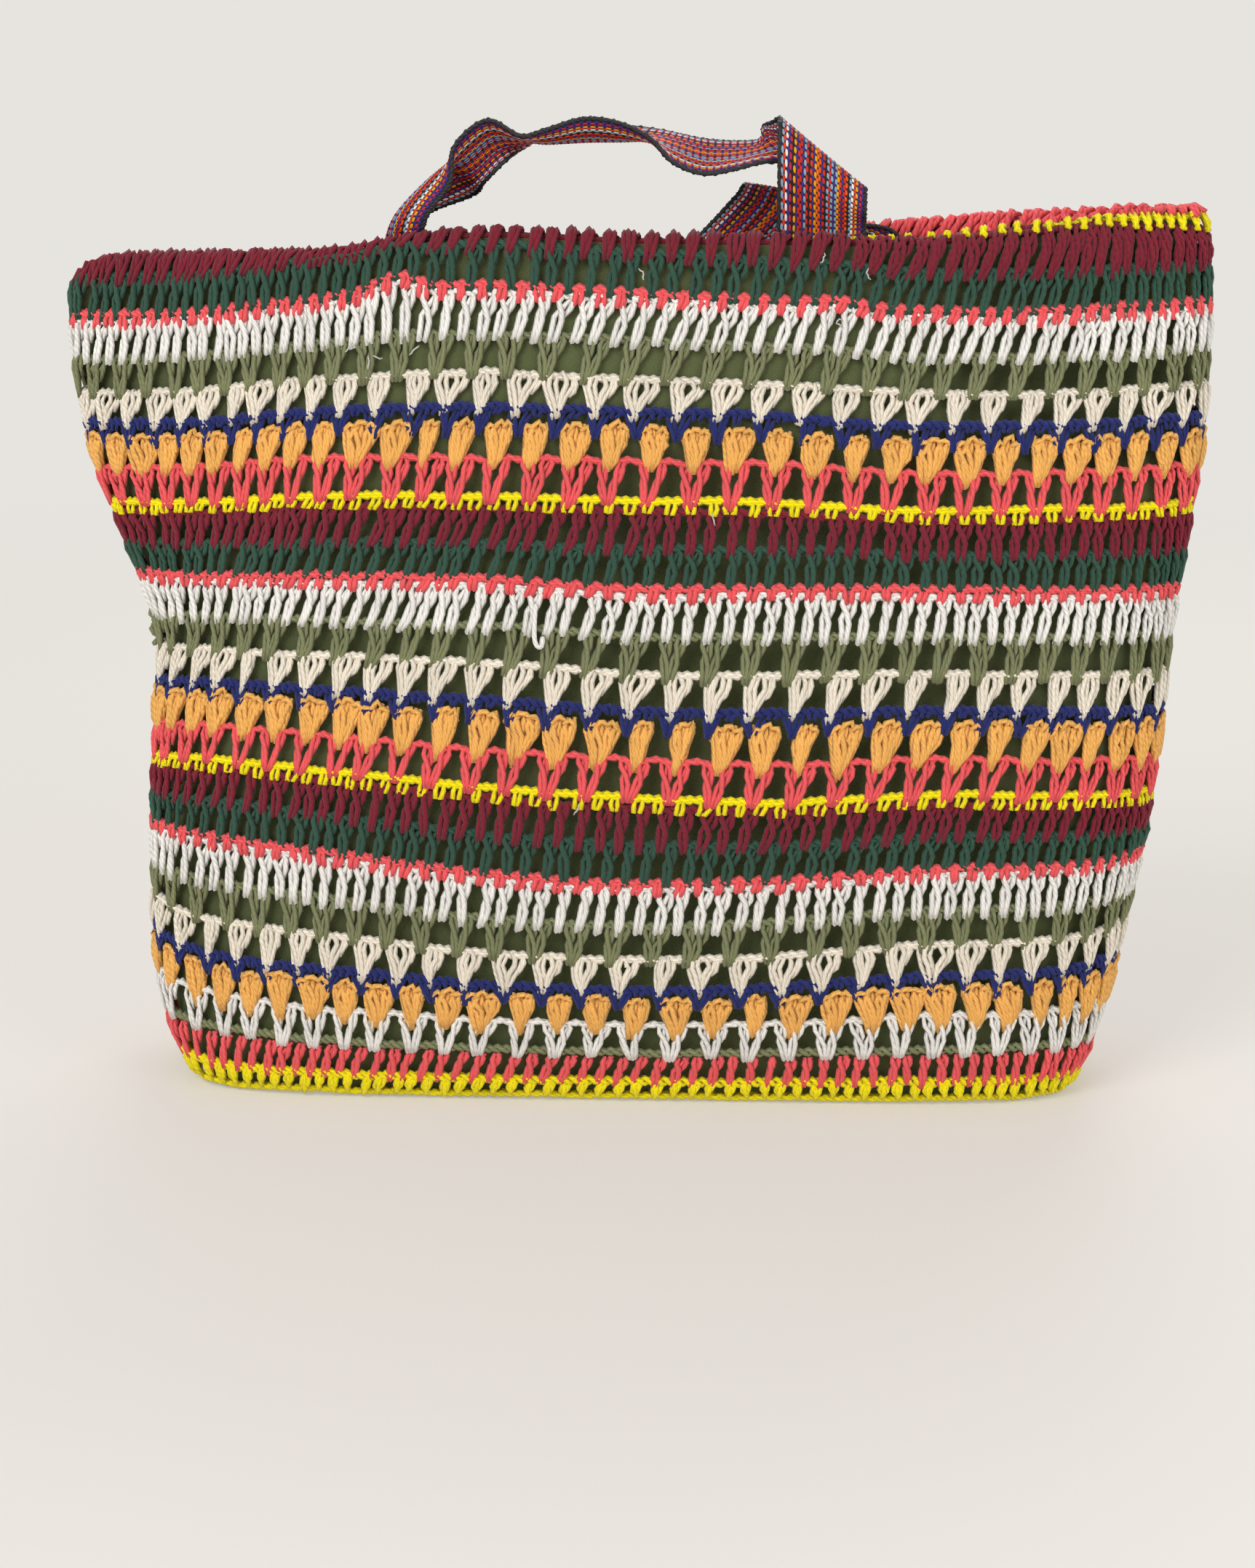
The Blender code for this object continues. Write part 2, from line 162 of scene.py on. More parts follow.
UV_UNIT = 10
PLIES = 5.0
PLY_LENGTH = 2.9
# Painted shade on each strand's sides, where it meets its neighbours, and painted light on its
# crown, as shares of its colour
PAINTED_SIDE_SHADE = 0.36
PAINTED_CROWN_LIGHT = 1.07
YARNS = {
    "yellow": "fdec06", "coral": "f86064", "olive": "868a62", "white": "f7f4ee",
    "orange": "fabb62", "navy": "242d71", "cream": "f5ebd9", "green": "325746",
    "maroon": "841f31",
}
CANVAS_COLOUR = "646c47"
CANVAS_THREAD = 0.055
GROUND_COLOUR = (0.02, 0.012, 0.012)
SELVEDGE_COLOURS = ("151315", "2c2a2c")


def yarn_material(colour):
    """Three-ply cotton: plies wind round the strand, with fine fuzz and uneven dye, and painted
    shade in the plies' grooves and on the strand's sides.
    """
    mat = Material("yarn_" + colour)
    around, along = mat.uv()
    turn = mat.maths("ADD", mat.maths("MULTIPLY", around, PLIES),
                     mat.maths("MULTIPLY", along, UV_UNIT / PLY_LENGTH))
    wave = mat.maths("SINE", mat.maths("MULTIPLY", turn, math.pi))
    ply = mat.maths("POWER", mat.maths("ABSOLUTE", wave), 0.5)
    fuzz = mat.noise(scale=2200, detail=2)
    dye = mat.noise(scale=60, detail=3)
    strand = mat.total(mat.maths("MULTIPLY", turn, 4 * math.pi), (dye, 3.0))
    fibre = mat.maths("MULTIPLY_ADD", mat.maths("SINE", strand), 0.5, 0.5)
    height = mat.total(ply, (fuzz, 0.5), (fibre, 0.35))
    # Painted shade: the colour is darker in the grooves between the plies; dye, fuzz, fibre and
    # each strand's tone vary it too
    shade = mat.total(0.44, (ply, 0.34), (fibre, 0.10), (dye, 0.20), (fuzz, 0.14),
                      (mat.attribute("tone", "Fac"), 0.12))
    # Painted shade on the strand's sides, where it meets its neighbours, and painted light on its
    # outward crown
    painted_side_shade = mat.maths("COSINE", mat.maths("MULTIPLY", around, 2 * math.pi))
    painted_side_shade = mat.total(PAINTED_CROWN_LIGHT - PAINTED_SIDE_SHADE, (mat.maths("ABSOLUTE", painted_side_shade), PAINTED_SIDE_SHADE))
    colour = mat.scaled(linear(YARNS[colour]), mat.maths("MULTIPLY", shade, painted_side_shade))
    return mat.finish(colour, height, strength=0.85, distance=0.0003, Roughness=0.85,
                      Specular_IOR_Level=0.25, Sheen_Weight=0.12, Sheen_Roughness=0.5)


def canvas_material():
    """Plain weave: fine threads both ways, slightly uneven."""
    mat = Material("canvas")
    threads = [mat.maths("SINE", mat.maths("MULTIPLY", way, math.pi / CANVAS_THREAD))
               for way in mat.uv()]
    weave = mat.maths("MULTIPLY_ADD", mat.maths("MULTIPLY", *threads), 0.5, 0.5)
    slub = mat.noise(scale=900, detail=3)
    wear = mat.noise(scale=14, detail=4)
    shade = mat.total(0.23, (weave, 0.75), (slub, 0.3), (wear, 0.3))
    return mat.finish(mat.scaled(linear(CANVAS_COLOUR), shade), mat.total(weave, (slub, 0.8)),
                      strength=0.7, distance=0.00025, Roughness=0.9, Specular_IOR_Level=0.2)


def webbing_material():
    """Warp beads with a dark gap round each, from the place within the bead."""
    mat = Material("webbing")
    across, along = [mat.maths("POWER", mat.maths("ABSOLUTE", way), 2.0) for way in mat.uv()]
    away = mat.total(mat.maths("MULTIPLY", along, 1.35), (across, 1.9))
    fibre = mat.noise(scale=1800, detail=2)
    dyed = mat.scaled(mat.attribute("dye", "Color"), mat.total(0.85, (fibre, 0.3)))
    colour = mat.mixed(mat.eased(away, low=0.95, high=0.5), GROUND_COLOUR, dyed)
    height = mat.total(1.0, (away, -0.6), (fibre, 0.3))
    return mat.finish(colour, height, strength=0.8, distance=0.0004, Roughness=0.6,
                      Specular_IOR_Level=0.25)


def selvedge_material():
    mat = Material("selvedge")
    fibre = mat.noise(scale=1500, detail=2)
    colour = mat.mixed(fibre, *[linear(code) for code in SELVEDGE_COLOURS])
    return mat.finish(colour, fibre, strength=0.5, distance=0.0003, Roughness=0.55)


MAKERS = {"canvas": canvas_material, "webbing": webbing_material,
          "selvedge": selvedge_material}
MATERIALS = {}


def material(name):
    """The material of a yarn, the canvas or the webbing, made once."""
    if name not in MATERIALS:
        MATERIALS[name] = MAKERS[name]() if name in MAKERS else yarn_material(name)
    return MATERIALS[name]


# Camera, light and floor

IMAGE_TALL = 2156
FOCAL_PIXELS = 4297
SENSOR = 36
CAMERA_AT = (0.0570, -1.3587, 0.4330)
CAMERA_AIM = (-0.0020, -0.0600, 0.1420)
CAMERA_NEAR = 0.01
CAMERA_FAR = 100
PALE = (0.795, 0.775, 0.735)
SKY_COLOUR = (1.0, 0.985, 0.965)
SKY_STRENGTH = 0.55
FLOOR_COLOUR = (0.86, 0.82, 0.77)
FLOOR_REACH = 6.0
# The floor turns pale between these distances, from this share on
FLOOR_FADE = (0.5, 2.2, 0.4)
LAMP_AIM = (0, 0, 0.2)
# Each lamp's name, place, size and power
LAMPS = (
    ("key", (-0.9, -1.7, 1.7), (1.2, 1.2), 26),
    ("fill", (1.5, -1.5, 1.0), (1.2, 1.2), 8),
    ("back", (0.3, 1.7, 1.6), (1.5, 1.0), 16),
)


def make_camera():
    data = bpy.data.cameras.new("camera")
    data.sensor_fit = "VERTICAL"
    data.sensor_width = SENSOR
    data.sensor_height = SENSOR
    data.lens = SENSOR * FOCAL_PIXELS / IMAGE_TALL
    data.clip_start = CAMERA_NEAR
    data.clip_end = CAMERA_FAR
    cam = into_scene("camera", data)
    cam.location = CAMERA_AT
    aim = np.array(CAMERA_AIM) - CAMERA_AT
    flat = math.hypot(aim[0], aim[1])
    cam.rotation_euler = (math.pi / 2 + math.atan2(aim[2], flat), 0, math.atan2(-aim[0], aim[1]))
    bpy.context.scene.camera = cam


def make_light():
    world = bpy.data.worlds.new("room")
    bpy.context.scene.world = world
    tree = Nodes(world)
    tree.nodes.clear()
    light = tree.add("Background", Color=SKY_COLOUR, Strength=SKY_STRENGTH)
    seen = tree.add("Background", Color=PALE)
    both = tree.mixed_shaders(tree.add("LightPath", "Is Camera Ray"), light, seen)
    tree.put(tree.nodes.new("ShaderNodeOutputWorld").inputs["Surface"], both)
    for name, place, size, power in LAMPS:
        data = bpy.data.lights.new(name, "AREA")
        data.shape = "RECTANGLE"
        data.size = size[0]
        data.size_y = size[1]
        data.energy = power
        lamp = into_scene(name, data)
        lamp.location = place
        d = np.array(LAMP_AIM) - place
        lamp.rotation_euler = (math.atan2(math.hypot(d[0], d[1]), -d[2]), 0,
                               math.atan2(d[1], d[0]) - math.pi / 2)


def make_floor():
    mesh = bpy.data.meshes.new("floor")
    corners = [(x * FLOOR_REACH, y * FLOOR_REACH, 0)
               for x, y in ((-1, -1), (1, -1), (1, 1), (-1, 1))]
    mesh.from_pydata(corners, [], [(0, 1, 2, 3)])
    floor = into_scene("floor", mesh)
    mat = Material("floor")
    mat.fill(mat.shader, {"Base Color": FLOOR_COLOUR, "Roughness": 0.45,
                          "Specular IOR Level": 0.25})
    where = mat.add("NewGeometry", "Position")
    distance = mat.add("VectorMath", "Value", "LENGTH", Vector=where)
    both = mat.mixed_shaders(mat.eased(distance, *FLOOR_FADE), mat.shader.outputs[0],
                             mat.add("Emission", Color=PALE))
    mat.put(mat.nodes["Material Output"].inputs["Surface"], both)
    mesh.materials.append(mat.made)


# The cloth's middle surface, as in the solids

LEVEL = [0, 25, 60, 120, 160, 200, 240, 280, 340, 380]
LEFT = [192, 204, 210, 211, 209, 207, 221, 235, 242, 236.5]
RIGHT = [194, 205, 214, 226, 230.5, 233.5, 239, 244, 246, 243]
DEPTH = [58, 66, 68, 66, 62, 58, 52, 46, 36, 30]
SQUARE = [5.5, 4.6, 3.9, 3.4, 3.2, 3.0, 2.8, 2.6, 2.3, 2.2]
AROUND = [0.0, 0.06, 0.12, 0.18, 0.25, 0.31, 0.37, 0.43, 0.5, 0.62, 0.75, 0.88, 1.0]
SAG_LEVEL = [0, 25, 52, 99, 135, 223, 259, 348]
SAG = [
    [0, 0, 0, 0, 0, 0, 0, 0, 0, 0, 0, 0, 0],
    [13, 6.5, 2.7, 0.8, -0.3, 0.3, 2, 2, 2.5, 0.6, 0, 4, 13],
    [20.5, 10.5, 6, 1.6, -0.7, 1, 6, 6.3, 11, 3, 0, 8, 20.5],
    [17.5, 14.5, 10, 3, -1, 1, 6, 6, 8, 2, 0, 8, 17.5],
    [7, 12, 9, 4, 0, -1, 2, 0, -3, 0, 2, 5, 7],
    [1, 3, 4, 4, 0, 1, 0, -1, -2, 1, 0, 2, 1],
    [-6, -3, 1, 1, 0, -1, -4, -4, -3, 0, 0, -3, -6],
    [-13, -10.5, -3.5, 2, -1, -4, -8, -8, -5, -7, -4, -10, -13],
]
RIM_SAG = [-12, -9.5, -7, 1.5, -0.5, -1, -1, 6, 10, 4, -8, -11, -12]
CORNER_DROP = 7
CORNER_WIDE = 0.014
# Where a handle's stitching pulls the crochet up: place around, half width, millimetres
PUCKERS = ((0.150, 0.012, 5.5), (0.335, 0.012, 2.0))
PUCKER_FROM = (322, 345)
PUCKER_TO = (358, 372)
RIM = 373.0
HALF = 1.9
CANVAS = 1.3
CANVAS_BEHIND = 1.1
CANVAS_OUT = HALF + CANVAS_BEHIND
CANVAS_IN = CANVAS_OUT + CANVAS
FACING_BEHIND = 1.0
ROLL = (CANVAS_IN + FACING_BEHIND + HALF) / 2
# Groups of stitches right round, and the width of one as its strands are drawn
GROUPS = 70
PITCH = 16.5
# How much closer the stitches stand at both ends of the bag
BUNCH = 0.16


def smooth(x, xs, ys):
    """Smooth curve through a few places; ys may hold a column for each x, or for one x."""
    xs = np.asarray(xs, float)
    ys = np.asarray(ys, float)
    x = np.broadcast_to(np.clip(x, xs[0], xs[-1]), np.shape(x) or ys.shape[1:])
    last = len(xs) - 1
    i = np.clip(np.searchsorted(xs, x) - 1, 0, last - 1)

    def value(k):
        return ys[k] if ys.ndim == 1 else np.take_along_axis(ys, k[None], 0)[0]

    def slope(k):
        a = np.maximum(k - 1, 0)
        b = np.minimum(k + 1, last)
        return (value(b) - value(a)) / (xs[b] - xs[a])

    h = xs[i + 1] - xs[i]
    t = (x - xs[i]) / h
    return ((2 * t ** 3 - 3 * t ** 2 + 1) * value(i) + (t ** 3 - 2 * t ** 2 + t) * h * slope(i)
            + (3 * t ** 2 - 2 * t ** 3) * value(i + 1) + (t ** 3 - t ** 2) * h * slope(i + 1))


def unit(v):
    return v / np.linalg.norm(v, axis=-1, keepdims=True)


def square_to(v, way):
    """The part of v that is square to a direction, at length 1."""
    return unit(v - (v * way).sum(-1, keepdims=True) * way)


def rise(a, b, x):
    """From 0 at a to 1 at b, easing in and out."""
    t = np.clip((x - a) / (b - a), 0, 1)
    return t * t * (3 - 2 * t)


STEP_Z = 2.0
TABLE_TOP = 402
TABLE_Z = np.arange(0, TABLE_TOP, STEP_Z)
OUTLINE_POINTS = 961
AROUND_STEPS = 1440
NORMAL_REACH = 9


def plan_table():
    """Points around the bag at each level, evenly spaced along the front and the back."""
    table = np.empty((len(TABLE_Z), AROUND_STEPS, 2))
    girth = np.empty(len(TABLE_Z))
    a = np.linspace(0, 2 * math.pi, OUTLINE_POINTS)
    c = -np.cos(a)
    s = -np.sin(a)
    for i, z in enumerate(TABLE_Z):
        power = 2 / smooth(z, LEVEL, SQUARE)
        side = np.where(c > 0, smooth(z, LEVEL, RIGHT), smooth(z, LEVEL, LEFT))
        x = np.sign(c) * np.abs(c) ** power * side
        y = np.sign(s) * np.abs(s) ** power * smooth(z, LEVEL, DEPTH)
        run = np.concatenate([[0], np.cumsum(np.hypot(np.diff(x), np.diff(y)))])
        want = np.arange(AROUND_STEPS) / AROUND_STEPS * run[-1]
        table[i, :, 0] = np.interp(want, run, x)
        table[i, :, 1] = np.interp(want, run, y)
        girth[i] = run[-1]
    return table, girth


PLAN, GIRTH = plan_table()
REACH = np.roll(PLAN, -NORMAL_REACH, 1) - np.roll(PLAN, NORMAL_REACH, 1)
NORMAL = unit(np.stack([REACH[..., 1], -REACH[..., 0]], -1))


def look(table, u, z):
    """Values of a table at u around and height z."""
    fz = np.clip(z / STEP_Z, 0, len(TABLE_Z) - 1.001)
    fu = (u % 1.0) * AROUND_STEPS
    iz = fz.astype(int)
    iu = fu.astype(int) % AROUND_STEPS
    ju = (iu + 1) % AROUND_STEPS
    tz = (fz - iz)[..., None]
    tu = (fu - np.floor(fu))[..., None]
    low = table[iz, iu] * (1 - tu) + table[iz, ju] * tu
    high = table[iz + 1, iu] * (1 - tu) + table[iz + 1, ju] * tu
    return low * (1 - tz) + high * tz


def sag(u, s):
    rows = np.stack([smooth(u % 1.0, AROUND, row) for row in SAG])
    value = smooth(s, SAG_LEVEL, rows)
    for place, wide, up in PUCKERS:
        near = np.exp(-((u % 1.0 - place) / wide) ** 2)
        value = value + up * near * rise(*PUCKER_FROM, s) * (1 - rise(*PUCKER_TO, s))
    return value


def fold_start(u):
    """Height at which the cloth starts to roll over; the left end's corner is lower."""
    corner = np.exp(-((u + 0.5) % 1.0 - 0.5) ** 2 / CORNER_WIDE ** 2)
    return RIM + smooth(u % 1.0, AROUND, RIM_SAG) - CORNER_DROP * corner - ROLL - HALF


def wall(u, z, off):
    """Points at height z, off outside the middle surface."""
    u, z, off = [np.asarray(v, float) for v in np.broadcast_arrays(u, z, off)]
    xy = look(PLAN, u, z) + look(NORMAL, u, z) * off[..., None]
    return np.stack([xy[..., 0] - CENTRE, xy[..., 1], z], -1)


def cloth(u, s, off):
    """Points at s along the cloth from the floor; past the rim the cloth rolls inward."""
    shape = np.broadcast_shapes(np.shape(u), np.shape(s), np.shape(off))
    u, s, off = [np.broadcast_to(v, shape).astype(float).ravel() for v in (u, s, off)]
    s = s + sag(u, s)
    top = fold_start(u)
    a = np.clip((s - top) / ROLL, 0, math.pi)
    down = np.maximum(s - top - math.pi * ROLL, 0)
    z = np.minimum(s, top) - down
    out = -ROLL + (ROLL + off) * np.cos(a)
    pts = wall(u, z, out)
    pts[:, 2] += (ROLL + off) * np.sin(a)
    return pts.reshape(shape + (3,))


SEARCH = np.linspace(-0.5, 1.5, 8001)
SEARCHED = SEARCH + BUNCH * np.sin(4 * math.pi * SEARCH) / (4 * math.pi)


def stitch_u(g):
    """Place around the bag of stitch group g; the groups stand closer at both ends."""
    w = g / GROUPS
    whole = np.floor(w)
    return np.interp(w - whole, SEARCHED, SEARCH) + whole


# Yarn: tubes gathered into one mesh for each piece

UP = (0.0, 0.0, 1.0)
# The thickness of a strand's two ends, as a share
END_TAPER = 0.72


class Skein:
    def __init__(self, colour, radius):
        self.colour = colour
        self.radius = radius
        self.verts = []
        self.faces = []
        self.uvs = []
        self.tones = []
        self.count = 0

    def tube(self, pts, reference, thick=1.0, closed=False, sides=4):
        """Tubes along pts, shaped strand by point by 3, with one corner facing outward."""
        n, m = pts.shape[:2]
        reference = np.broadcast_to(reference, pts.shape)
        if closed:
            ahead = np.roll(pts, -1, 1)
            behind = np.roll(pts, 1, 1)
        else:
            ahead = np.concatenate([pts[:, 1:], 2 * pts[:, -1:] - pts[:, -2:-1]], 1)
            behind = np.concatenate([2 * pts[:, :1] - pts[:, 1:2], pts[:, :-1]], 1)
        tangent = unit(ahead - behind)
        side = square_to(reference, tangent)
        for k in range(0 if closed else m):
            side[:, k] = square_to(side[:, k - 1] if k else reference[:, 0], tangent[:, k])
        other = np.cross(tangent, side)
        radius = self.radius * thick * np.ones((n, m))
        if not closed:
            radius[:, [0, -1]] *= END_TAPER
        a = np.arange(sides) * 2 * math.pi / sides + math.pi / 2
        ring = side[:, :, None] * np.cos(a)[:, None] + other[:, :, None] * np.sin(a)[:, None]
        verts = pts[:, :, None] + ring * radius[:, :, None, None]
        base = self.count + (np.arange(n) * m * sides)[:, None, None]
        rings = m if closed else m - 1
        k = np.arange(sides)
        l = (k + 1) % sides
        here = base + np.arange(rings)[:, None] * sides
        there = base + (np.arange(rings)[:, None] + 1) % m * sides
        quads = np.stack([here + k, there + k, there + l, here + l], -1)
        step = np.linalg.norm(np.diff(pts, axis=1), axis=-1)
        along = np.concatenate([np.zeros((n, 1)), np.cumsum(step, 1)], 1) / UV_UNIT
        if closed:
            gap = np.linalg.norm(pts[:, :1] - pts[:, -1:], axis=-1) / UV_UNIT
            along = np.concatenate([along, along[:, -1:] + gap], 1)
        along = along + RANDOM.random((n, 1))
        u0, v0, u1, v1 = np.broadcast_arrays(k / sides, along[:, :rings, None],
                                             k / sides + 1 / sides, along[:, 1:rings + 1, None])
        uv = np.stack([u0, v0, u0, v1, u1, v1, u1, v0], -1)
        self.faces.append(quads.reshape(-1, 4))
        self.uvs.append(uv.reshape(-1, 2))
        self.verts.append(verts.reshape(-1, 3))
        tone = np.broadcast_to(RANDOM.random((n, 1, 1)), (n, m, sides))
        self.tones.append(tone.reshape(-1))
        if not closed:
            for end in (0, m - 1):
                cap = base[:, :, 0] + end * sides + k
                self.faces.append(cap[:, ::-1] if end else cap)
                self.uvs.append(np.zeros((n * sides, 2)))
        self.count += n * m * sides

    def piece(self, name, *nodes, slot=None):
        """Makes the mesh, in metres, and lets it stand for its solids."""
        mesh = bpy.data.meshes.new(name)
        verts = np.concatenate(self.verts) * MM
        loops = np.concatenate([f.ravel() for f in self.faces])
        totals = np.concatenate([np.full(len(f), f.shape[1]) for f in self.faces])
        starts = np.concatenate([[0], np.cumsum(totals)[:-1]])
        mesh.vertices.add(len(verts))
        mesh.vertices.foreach_set("co", verts.ravel().astype(np.float32))
        mesh.loops.add(len(loops))
        mesh.loops.foreach_set("vertex_index", loops.astype(np.int32))
        mesh.polygons.add(len(starts))
        mesh.polygons.foreach_set("loop_start", starts.astype(np.int32))
        mesh.polygons.foreach_set("use_smooth", np.ones(len(starts), bool))
        mesh.update(calc_edges=True)
        layer = mesh.uv_layers.new(name="UVMap")
        layer.data.foreach_set("uv", np.concatenate(self.uvs).ravel().astype(np.float32))
        tone = mesh.attributes.new("tone", "FLOAT", "POINT")
        tone.data.foreach_set("value", np.concatenate(self.tones).astype(np.float32))
        mesh.materials.append(material(self.colour))
        dress(name, mesh, slot or "yarn_" + self.colour, *nodes)


def through(points, samples):
    """Smooth curves through control points, strand by point by 3."""
    last = points.shape[1] - 1
    t = np.linspace(0, last, samples)
    i = np.minimum(t.astype(int), last - 1)
    f = (t - i)[None, :, None]
    a = points[:, np.maximum(i - 1, 0)]
    b = points[:, i]
    c = points[:, i + 1]
    d = points[:, np.minimum(i + 2, last)]
    return 0.5 * (2 * b + (c - a) * f + (2 * a - 5 * b + 4 * c - d) * f ** 2
                  + (3 * b - a - 3 * c + d) * f ** 3)


# Lean of the stitches: millimetres sideways for each one up, by height and by place around

LEAN_LEVEL = [16, 31, 95, 125, 180, 215, 250, 300, 338, 356, 375]
LEAN_AROUND = [0, 0.06, 0.15, 0.25, 0.35, 0.44, 0.55, 0.75, 1]
LEAN = [
    [0.42, 0.42, 0.40, 0.35, 0.05, -0.08, 0.10, 0.20, 0.35],
    [0.10, 0.10, 0.10, 0.10, 0.00, -0.10, 0.05, 0.10, 0.10],
    [0.05, 0.00, 0.13, 0.18, 0.12, 0.02, 0.10, 0.15, 0.05],
    [0.10, 0.15, 0.20, 0.13, 0.28, 0.28, 0.15, 0.15, 0.05],
    [0.10, 0.10, 0.20, 0.20, 0.20, 0.20, 0.15, 0.15, 0.10],
    [0.30, 0.36, 0.36, 0.18, 0.15, 0.20, 0.15, 0.15, 0.20],
    [0.40, 0.44, 0.42, 0.15, 0.10, 0.12, 0.15, 0.15, 0.20],
    [0.10, 0.10, 0.15, 0.17, 0.17, 0.20, 0.15, 0.15, 0.10],
    [0.00, 0.00, 0.10, 0.36, 0.34, 0.38, 0.20, 0.15, 0.10],
    [0.08, 0.08, 0.10, 0.10, 0.30, 0.38, 0.20, 0.15, 0.10],
    [0.50, 0.50, 0.40, 0.08, 0.25, 0.36, 0.20, 0.15, 0.40],
]
# The front's stitches lean so between these places around, easing in and out
FRONT_FACE = (0.02, 0.09, 0.41, 0.48)
# Rows above this height pass on a share of the lean that they lack
TOP_ROWS = 290
KEPT_SHARE = 0.5
# Between two heights: places around, and how many groups the stitches shift there
DRIFTS = (
    (0, 20, (0, 0.05, 0.25, 0.42, 0.50, 1), (0, 0.25, 0.20, 0.40, 0, 0)),
    (75, 131, (0, 0.03, 0.12, 0.25, 0.42, 1), (0, 0, -0.14, -0.08, 0, 0)),
    (200, 262, (0, 0.03, 0.12, 0.25, 0.50, 1), (0, 0, -0.18, -0.25, -0.26, 0)),
)
# The most that a stitch's top moves on, in groups, in wide and in dense rows
MOST_EXTRA = 0.27
MOST_EXTRA_DENSE = 0.55


def turned(g, low, high, lean):
    """How many groups further round the tops should stand, to lean as LEAN says."""
    u = stitch_u(g)
    rows = np.stack([smooth(u % 1.0, LEAN_AROUND, row) for row in LEAN])
    side = smooth((low + high) / 2, LEAN_LEVEL, rows) * (high - low)
    top = np.minimum(high, RIM - ROLL) + sag(u, high)
    foot = low + sag(u, low)
    ahead = u + lean / PITCH * (stitch_u(g + 0.5) - stitch_u(g - 0.5))
    lacking = side - (wall(ahead, top, 0)[:, 0] - wall(u, foot, 0)[:, 0])
    a, b, c, d = FRONT_FACE
    return lacking * rise(a, b, u % 1.0) * (1 - rise(c, d, u % 1.0)) / PITCH


class Course:
    """Where a row's stitches stand: each place g moves by what the rows below leaned."""

    def __init__(self):
        self.phase = 0.0
        self.knots = np.arange(GROUPS + 1.0)
        self.moved = np.zeros(GROUPS + 1)

    def at(self, g):
        return g + self.phase + np.interp(g % GROUPS, self.knots, self.moved)

    def climb(self, low, high, lean, most):
        """Moves on by one row's lean; what it returns is left out of the rows above."""
        lacking = turned(self.at(self.knots), low, high, lean)
        lacking[-1] = lacking[0]
        kept = lacking * (KEPT_SHARE if low > TOP_ROWS else 0.0)
        self.moved = self.moved + lean / PITCH + kept
        return np.clip(lacking - kept, -most, most)

    def drift(self, low):
        """Between dense rows the stitches of the front shift a little without leaning."""
        for start, end, places, share in DRIFTS:
            if start < low < end:
                u = stitch_u(self.at(self.knots))
                self.moved = self.moved + np.interp(u % 1.0, places, share)

    def extra(self, g, more):
        return np.interp(g % GROUPS, self.knots, more)


# Top of the rim

# How much the strands spread there, by place around
CROWD_AROUND = [0, 0.12, 0.20, 0.90, 1]
CROWD = [1, 1, 0.25, 0.25, 1]
CROWD_REACH = 7
# How far behind the fold's top the chains lie
CHAIN_BEHIND_CREST = 2.2
FACING_CHAIN_IN_FRONT = 9.0
FACING_CHAIN_AT_BACK = 0.8


def crest(u):
    """Where the top of the fold lies along the cloth."""
    return fold_start(u) + ROLL * math.pi / 2 - sag(u, RIM)


def behind_crest(u):
    return crest(u) + CHAIN_BEHIND_CREST


def crest_at_back(u):
    """Near the crest on the back's half of the rim; well inside on the front's."""
    return crest(u) + np.where(u % 1.0 < 0.5, FACING_CHAIN_IN_FRONT, FACING_CHAIN_AT_BACK)


def crowded(u, s):
    """Most on top of the fold at the left end, where the strands lie spread side by side."""
    flat = u.ravel()
    near = np.exp(-((s.ravel() - crest(flat)) / CROWD_REACH) ** 2)
    return (near * np.interp(flat % 1.0, CROWD_AROUND, CROWD)).reshape(u.shape)


# Stitches

# How far every strand sinks into the cloth
SUNK = 0.9
# How the stitches of a row differ: foot and top in groups, bulge and cross as shares, and the
# others in millimetres
DIFFER = {"foot": 0.03, "top": 0.035, "low": 0.5, "high": 0.35, "bulge": 0.17, "proud": 0.2,
          "bend": 0.5, "cross": 0.035}
# How each point of a strand differs: share of the height, millimetres sideways and out
POINT_UP = 0.010
POINT_ASIDE = 0.13
POINT_OUT = 0.08
# How much narrower or wider a stitch gets where its neighbours stand close or apart
SQUEEZE = (0.5, 1.1)
# A step round the bag that tells which way the cloth runs
STEP_ASIDE = 0.004


